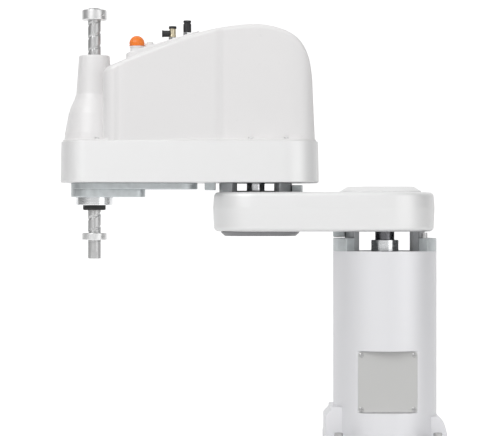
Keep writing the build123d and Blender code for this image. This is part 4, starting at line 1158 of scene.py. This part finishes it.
@dataclass
class ShaftUnit:
    """The ball-screw spline shaft, its collars and the housing under the arm."""

    radius: float = 10.0
    bore: float = 7.0
    bottom: float = 286.0
    length: float = 387.0
    lead: float = 20.0
    groove_half: float = 2.1
    groove_depth: float = 0.95
    spline_half: float = 1.5
    spline_depth: float = 0.9
    plain: float = 26.0
    collars: tuple[tuple[float, float], ...] = ((655.2, 15.5), (314.7, 11.0))

    def shaft(self) -> Patch:
        """Return the hollow shaft with two crossing sets of grooves.

        The radius is R less the deeper of two round-bottomed grooves, depth sqrt(1 - (s / w)^2). For the ball
        screw s is the distance from a helix z = lead a / 2 pi, and for the spline it is R times the angle from
        one of three upright lines. The plain lower end has a clamping flat.
        """
        columns = 132
        angle = np.linspace(0, 2 * np.pi, columns, endpoint=False)[None]
        top = self.bottom + self.length
        start = self.bottom + self.plain
        z = np.concatenate([[self.bottom, self.bottom + 0.6, self.bottom + 1.0, self.bottom + 1.01, self.bottom + 11.0,
                             self.bottom + 11.01, start - 0.2], np.arange(start, top - 1.5, 0.95), [top - 1.2, top - 0.4, top]])[:, None]
        phase = (z - self.bottom - self.lead * angle / (2 * np.pi)) % self.lead - self.lead / 2
        tilt = np.cos(np.arctan(self.lead / (2 * np.pi * self.radius)))
        screw = np.sqrt(np.clip(1 - (phase * tilt / self.groove_half) ** 2, 0, 1)) * self.groove_depth
        around = (angle - np.radians(30) + np.pi / 3) % (2 * np.pi / 3) - np.pi / 3
        spline = np.sqrt(np.clip(1 - (around * self.radius / self.spline_half) ** 2, 0, 1)) * self.spline_depth
        cut = np.where((z >= start) & (z <= top - 1.2), np.maximum(screw, spline), 0.0)
        radius = self.radius - cut
        radius = np.where(z == self.bottom, self.radius - 0.6, radius)
        radius = np.where(z >= top - 0.4, self.radius - 0.5 * (z - top + 0.4) / 0.4 - 0.1, radius)
        flat = (z >= self.bottom + 1.01) & (z <= self.bottom + 11.0) & (np.sin(angle) < 0)
        radius = np.where(flat, np.minimum(radius, (self.radius - 1) / np.maximum(-np.sin(angle), 1e-6)), radius)
        outer = np.stack([SHAFT_X + radius * np.cos(angle), radius * np.sin(angle), z + 0 * radius], axis=-1)
        inner = turned(np.array([(self.bore + 0.5, top), (self.bore, top - 0.5), (self.bore, self.bottom + 0.5),
                                 (self.bore + 0.5, self.bottom)]), SHAFT_X, 0, columns)
        return grid_patch(np.concatenate([outer, inner]), loop_rows=True)

    def collar(self, low: float, height: float) -> Patch:
        """Return a split clamp collar with chamfered rims."""
        high = low + height
        loop = soften([(18.4, low), (19.0, low + 0.8), (19.0, high - 0.8), (18.4, high), (10.0, high), (10.0, low)],
                      0.5, closed=True)
        angle = np.radians(np.linspace(3.2, 356.8, 120))
        grid = np.stack([SHAFT_X + loop[:, :1] * np.cos(angle), loop[:, :1] * np.sin(angle),
                         np.broadcast_to(loop[:, 1:], (len(loop), len(angle)))], axis=-1)
        return grid_patch(grid, around=False, loop_rows=True, ends=True)

    def clamp_screws(self) -> Patch:
        """Return the screw that closes each collar, its head towards the front."""
        heads = []
        for low, height in self.collars:
            head = cap_screw(0, 0, 0, 3.0, 3.0)
            heads.append(head.mapped(lambda x, y, z: (x, -z, y)).moved(SHAFT_X + 14.5, -12.0, low + height / 2))
        return join(heads)

    def housing(self) -> Patch:
        """Return the deep block round the nut and the shallow plate behind it."""
        deep = Outline.around([(SHAFT_X, 0, 36.0), (SHAFT_X + 61, 0, 18.0)], 200)
        wide = Outline.around([(SHAFT_X, 0, 36.0), (SHAFT_X + 132, 0, 28.0)], 200)
        return join([slab(deep, 381.0, 394.0, 1.8), slab(wide, 393.0, ARM2_Z, 1.4)])

    def build(self) -> None:
        """Make and dress the shaft unit."""
        make_piece("screw_spline", self.shaft(), SHAFT_STEEL, Body.SHAFT, ["spline_shaft"], 50)
        make_piece("clamp_collars", join([self.collar(*sizes) for sizes in self.collars]), COLLAR_STEEL, Body.SHAFT,
                   ["shaft_collars"])
        make_piece("clamp_screws", self.clamp_screws(), SCREW_STEEL, Body.SHAFT, ["collar_screws"])
        make_piece("nut_housing", self.housing(), CASTING, Body.ARM2, ["shaft_housing"])
        make_piece("housing_ring", ring(28.5, 24.0, 368.5, 381.5, SHAFT_X, cut=1.0), MACHINED, Body.ARM2,
                   ["shaft_housing_ring"])
        lip = soften([(17.5, 368.5), (17.5, 362), (16, 361), (11.5, 361), (10.6, 362.5), (10.6, 368.5)], 0.5)
        make_piece("wiper", grid_patch(turned(lip, SHAFT_X), loop_rows=True), SEAL_RUBBER, Body.ARM2,
                   ["shaft_seal"])


@dataclass
class Drives:
    """Bearings, pulleys, belts, motors and reducers inside arm 2."""

    steel: tuple[str, ...] = ("spline_bearings", "screw_nut_bearing", "spline_nut", "ball_screw_nut", "joint2_reducer",
                              "joint4_motor_bracket", "drive_shelf")
    pulleys: tuple[str, ...] = ("spline_pulley", "screw_nut_pulley", "joint3_motor_pulley", "joint4_motor_pulley")
    belts: tuple[str, ...] = ("joint3_belt", "joint4_belt")
    motors: tuple[str, ...] = ("joint2_motor", "joint3_motor", "joint4_motor")

    def build(self) -> None:
        """Dress the drives that the castings hide."""
        dress(MACHINED, *self.steel)
        dress(PULLEY, *self.pulleys)
        dress(BELT_RUBBER, *self.belts)
        dress(MOTOR_BLACK, *self.motors)


# Studio


@dataclass
class Studio:
    """Floor, backdrop, soft lamps and the camera."""

    camera_x: float = -0.2088
    camera_y: float = -3.0
    camera_z: float = 0.34875
    focal: float = 139.35
    sensor: float = 36.0
    floor_colour: Colour = (0.60, 0.60, 0.60)
    lamps: list[tuple[str, tuple[float, float, float], tuple[float, float, float], float, float]] = field(
        default_factory=lambda: [
            ("key", (-1.6, -1.9, 2.0), (-0.2, 0.0, 0.35), 1.6, 33.0),
            ("fill", (1.9, -1.7, 0.9), (-0.1, 0.0, 0.3), 1.8, 14.0),
            ("top", (-0.2, 0.3, 2.4), (-0.2, 0.0, 0.3), 1.8, 2.0),
        ])

    def floor_material(self) -> bpy.types.Material:
        """Return the pale floor, which shows near white to the camera and keeps the shadow."""
        made = bpy.data.materials.new("studio_floor")
        made.use_nodes = True
        wires = Wires(made.node_tree)
        shader = made.node_tree.nodes["Principled BSDF"]
        shader.inputs["Base Color"].default_value = (*self.floor_colour, 1.0)
        shader.inputs["Roughness"].default_value = 0.9
        path = wires.add("ShaderNodeLightPath")
        seen = wires.maths("MAXIMUM", path.outputs["Is Camera Ray"], path.outputs["Is Glossy Ray"])
        wires.link(wires.maths("MULTIPLY", seen, 0.78), shader.inputs["Emission Strength"])
        shader.inputs["Emission Color"].default_value = (1, 1, 1, 1)
        return made

    def sweep(self) -> None:
        """Make the floor and backdrop as one sheet that curves up far behind the object."""
        turn = np.linspace(0, np.pi / 2, 24)
        profile = np.vstack([[(-8.0, 0.0)], np.column_stack([3.0 + 2.5 * np.sin(turn), 2.5 * (1 - np.cos(turn))]), [(5.5, 9.0)]])
        x = np.linspace(-9.0, 9.0, 9)
        grid = np.stack([np.broadcast_to(x[None], (len(profile), len(x))),
                         np.broadcast_to(profile[:, :1], (len(profile), len(x))),
                         np.broadcast_to(profile[:, 1:], (len(profile), len(x)))], axis=-1)
        patch = grid_patch(grid, around=False)
        mesh = bpy.data.meshes.new("studio_sweep")
        mesh.from_pydata(patch.points.tolist(), [], patch.faces)
        mesh.polygons.foreach_set("use_smooth", np.ones(len(mesh.polygons), bool))
        sheet = bpy.data.objects.new("studio_sweep", mesh)
        bpy.context.scene.collection.objects.link(sheet)
        mesh.materials.append(self.floor_material())

    def lamp(self, name: str, place: Sequence[float], aim: Sequence[float], size: float, power: float) -> None:
        """Make one soft area lamp that looks at a point."""
        data = bpy.data.lights.new(name, "AREA")
        data.shape = "SQUARE"
        data.size = size
        data.energy = power
        lamp = bpy.data.objects.new(name, data)
        lamp.location = place
        way = np.asarray(aim, float) - np.asarray(place, float)
        lamp.rotation_euler = (np.arctan2(np.hypot(way[0], way[1]), -way[2]), 0.0, np.arctan2(-way[0], way[1]))
        bpy.context.scene.collection.objects.link(lamp)

    def world(self) -> None:
        """Light the scene softly, dimmer to the sides, and show white to the camera.

        Polished parts pick up the dim sides as dark edges.
        """
        world = bpy.data.worlds.new("studio")
        world.use_nodes = True
        bpy.context.scene.world = world
        back = world.node_tree.nodes["Background"]
        back.inputs["Color"].default_value = (1, 1, 1, 1)
        wires = Wires(world.node_tree)
        path = wires.add("ShaderNodeLightPath")
        parts = wires.add("ShaderNodeSeparateXYZ")
        wires.link(wires.add("ShaderNodeTexCoord").outputs["Generated"], parts.inputs[0])
        aside = wires.maths("ABSOLUTE", parts.outputs["X"], 0.0)
        level = wires.spread(aside, 0.4, 0.95, 0.70, 0.18)
        wires.link(wires.maths("MAXIMUM", level, path.outputs["Is Camera Ray"]), back.inputs["Strength"])

    def camera(self) -> None:
        """Set the camera level with the arm, three metres in front."""
        data = bpy.data.cameras.new("camera")
        data.lens = self.focal
        data.sensor_width = self.sensor
        eye = bpy.data.objects.new("camera", data)
        eye.location = (self.camera_x, self.camera_y, self.camera_z)
        eye.rotation_euler = (np.pi / 2, 0.0, 0.0)
        bpy.context.scene.collection.objects.link(eye)
        bpy.context.scene.camera = eye

    def build(self) -> None:
        """Set up the studio."""
        self.sweep()
        self.world()
        for sizes in self.lamps:
            self.lamp(*sizes)
        self.camera()
        bpy.context.scene.view_settings.view_transform = "Standard"


def main() -> None:
    """Build the assemblies in order, then the studio."""
    logging.basicConfig(level=logging.INFO, format="%(name)s %(message)s")
    for assembly in (Column(), LowerArm(), UpperArm(), TopFittings(), ShaftUnit(), Drives()):
        LOG.info("building %s", type(assembly).__name__)
        assembly.build()
    Studio().build()


if __name__ == "__main__":
    main()
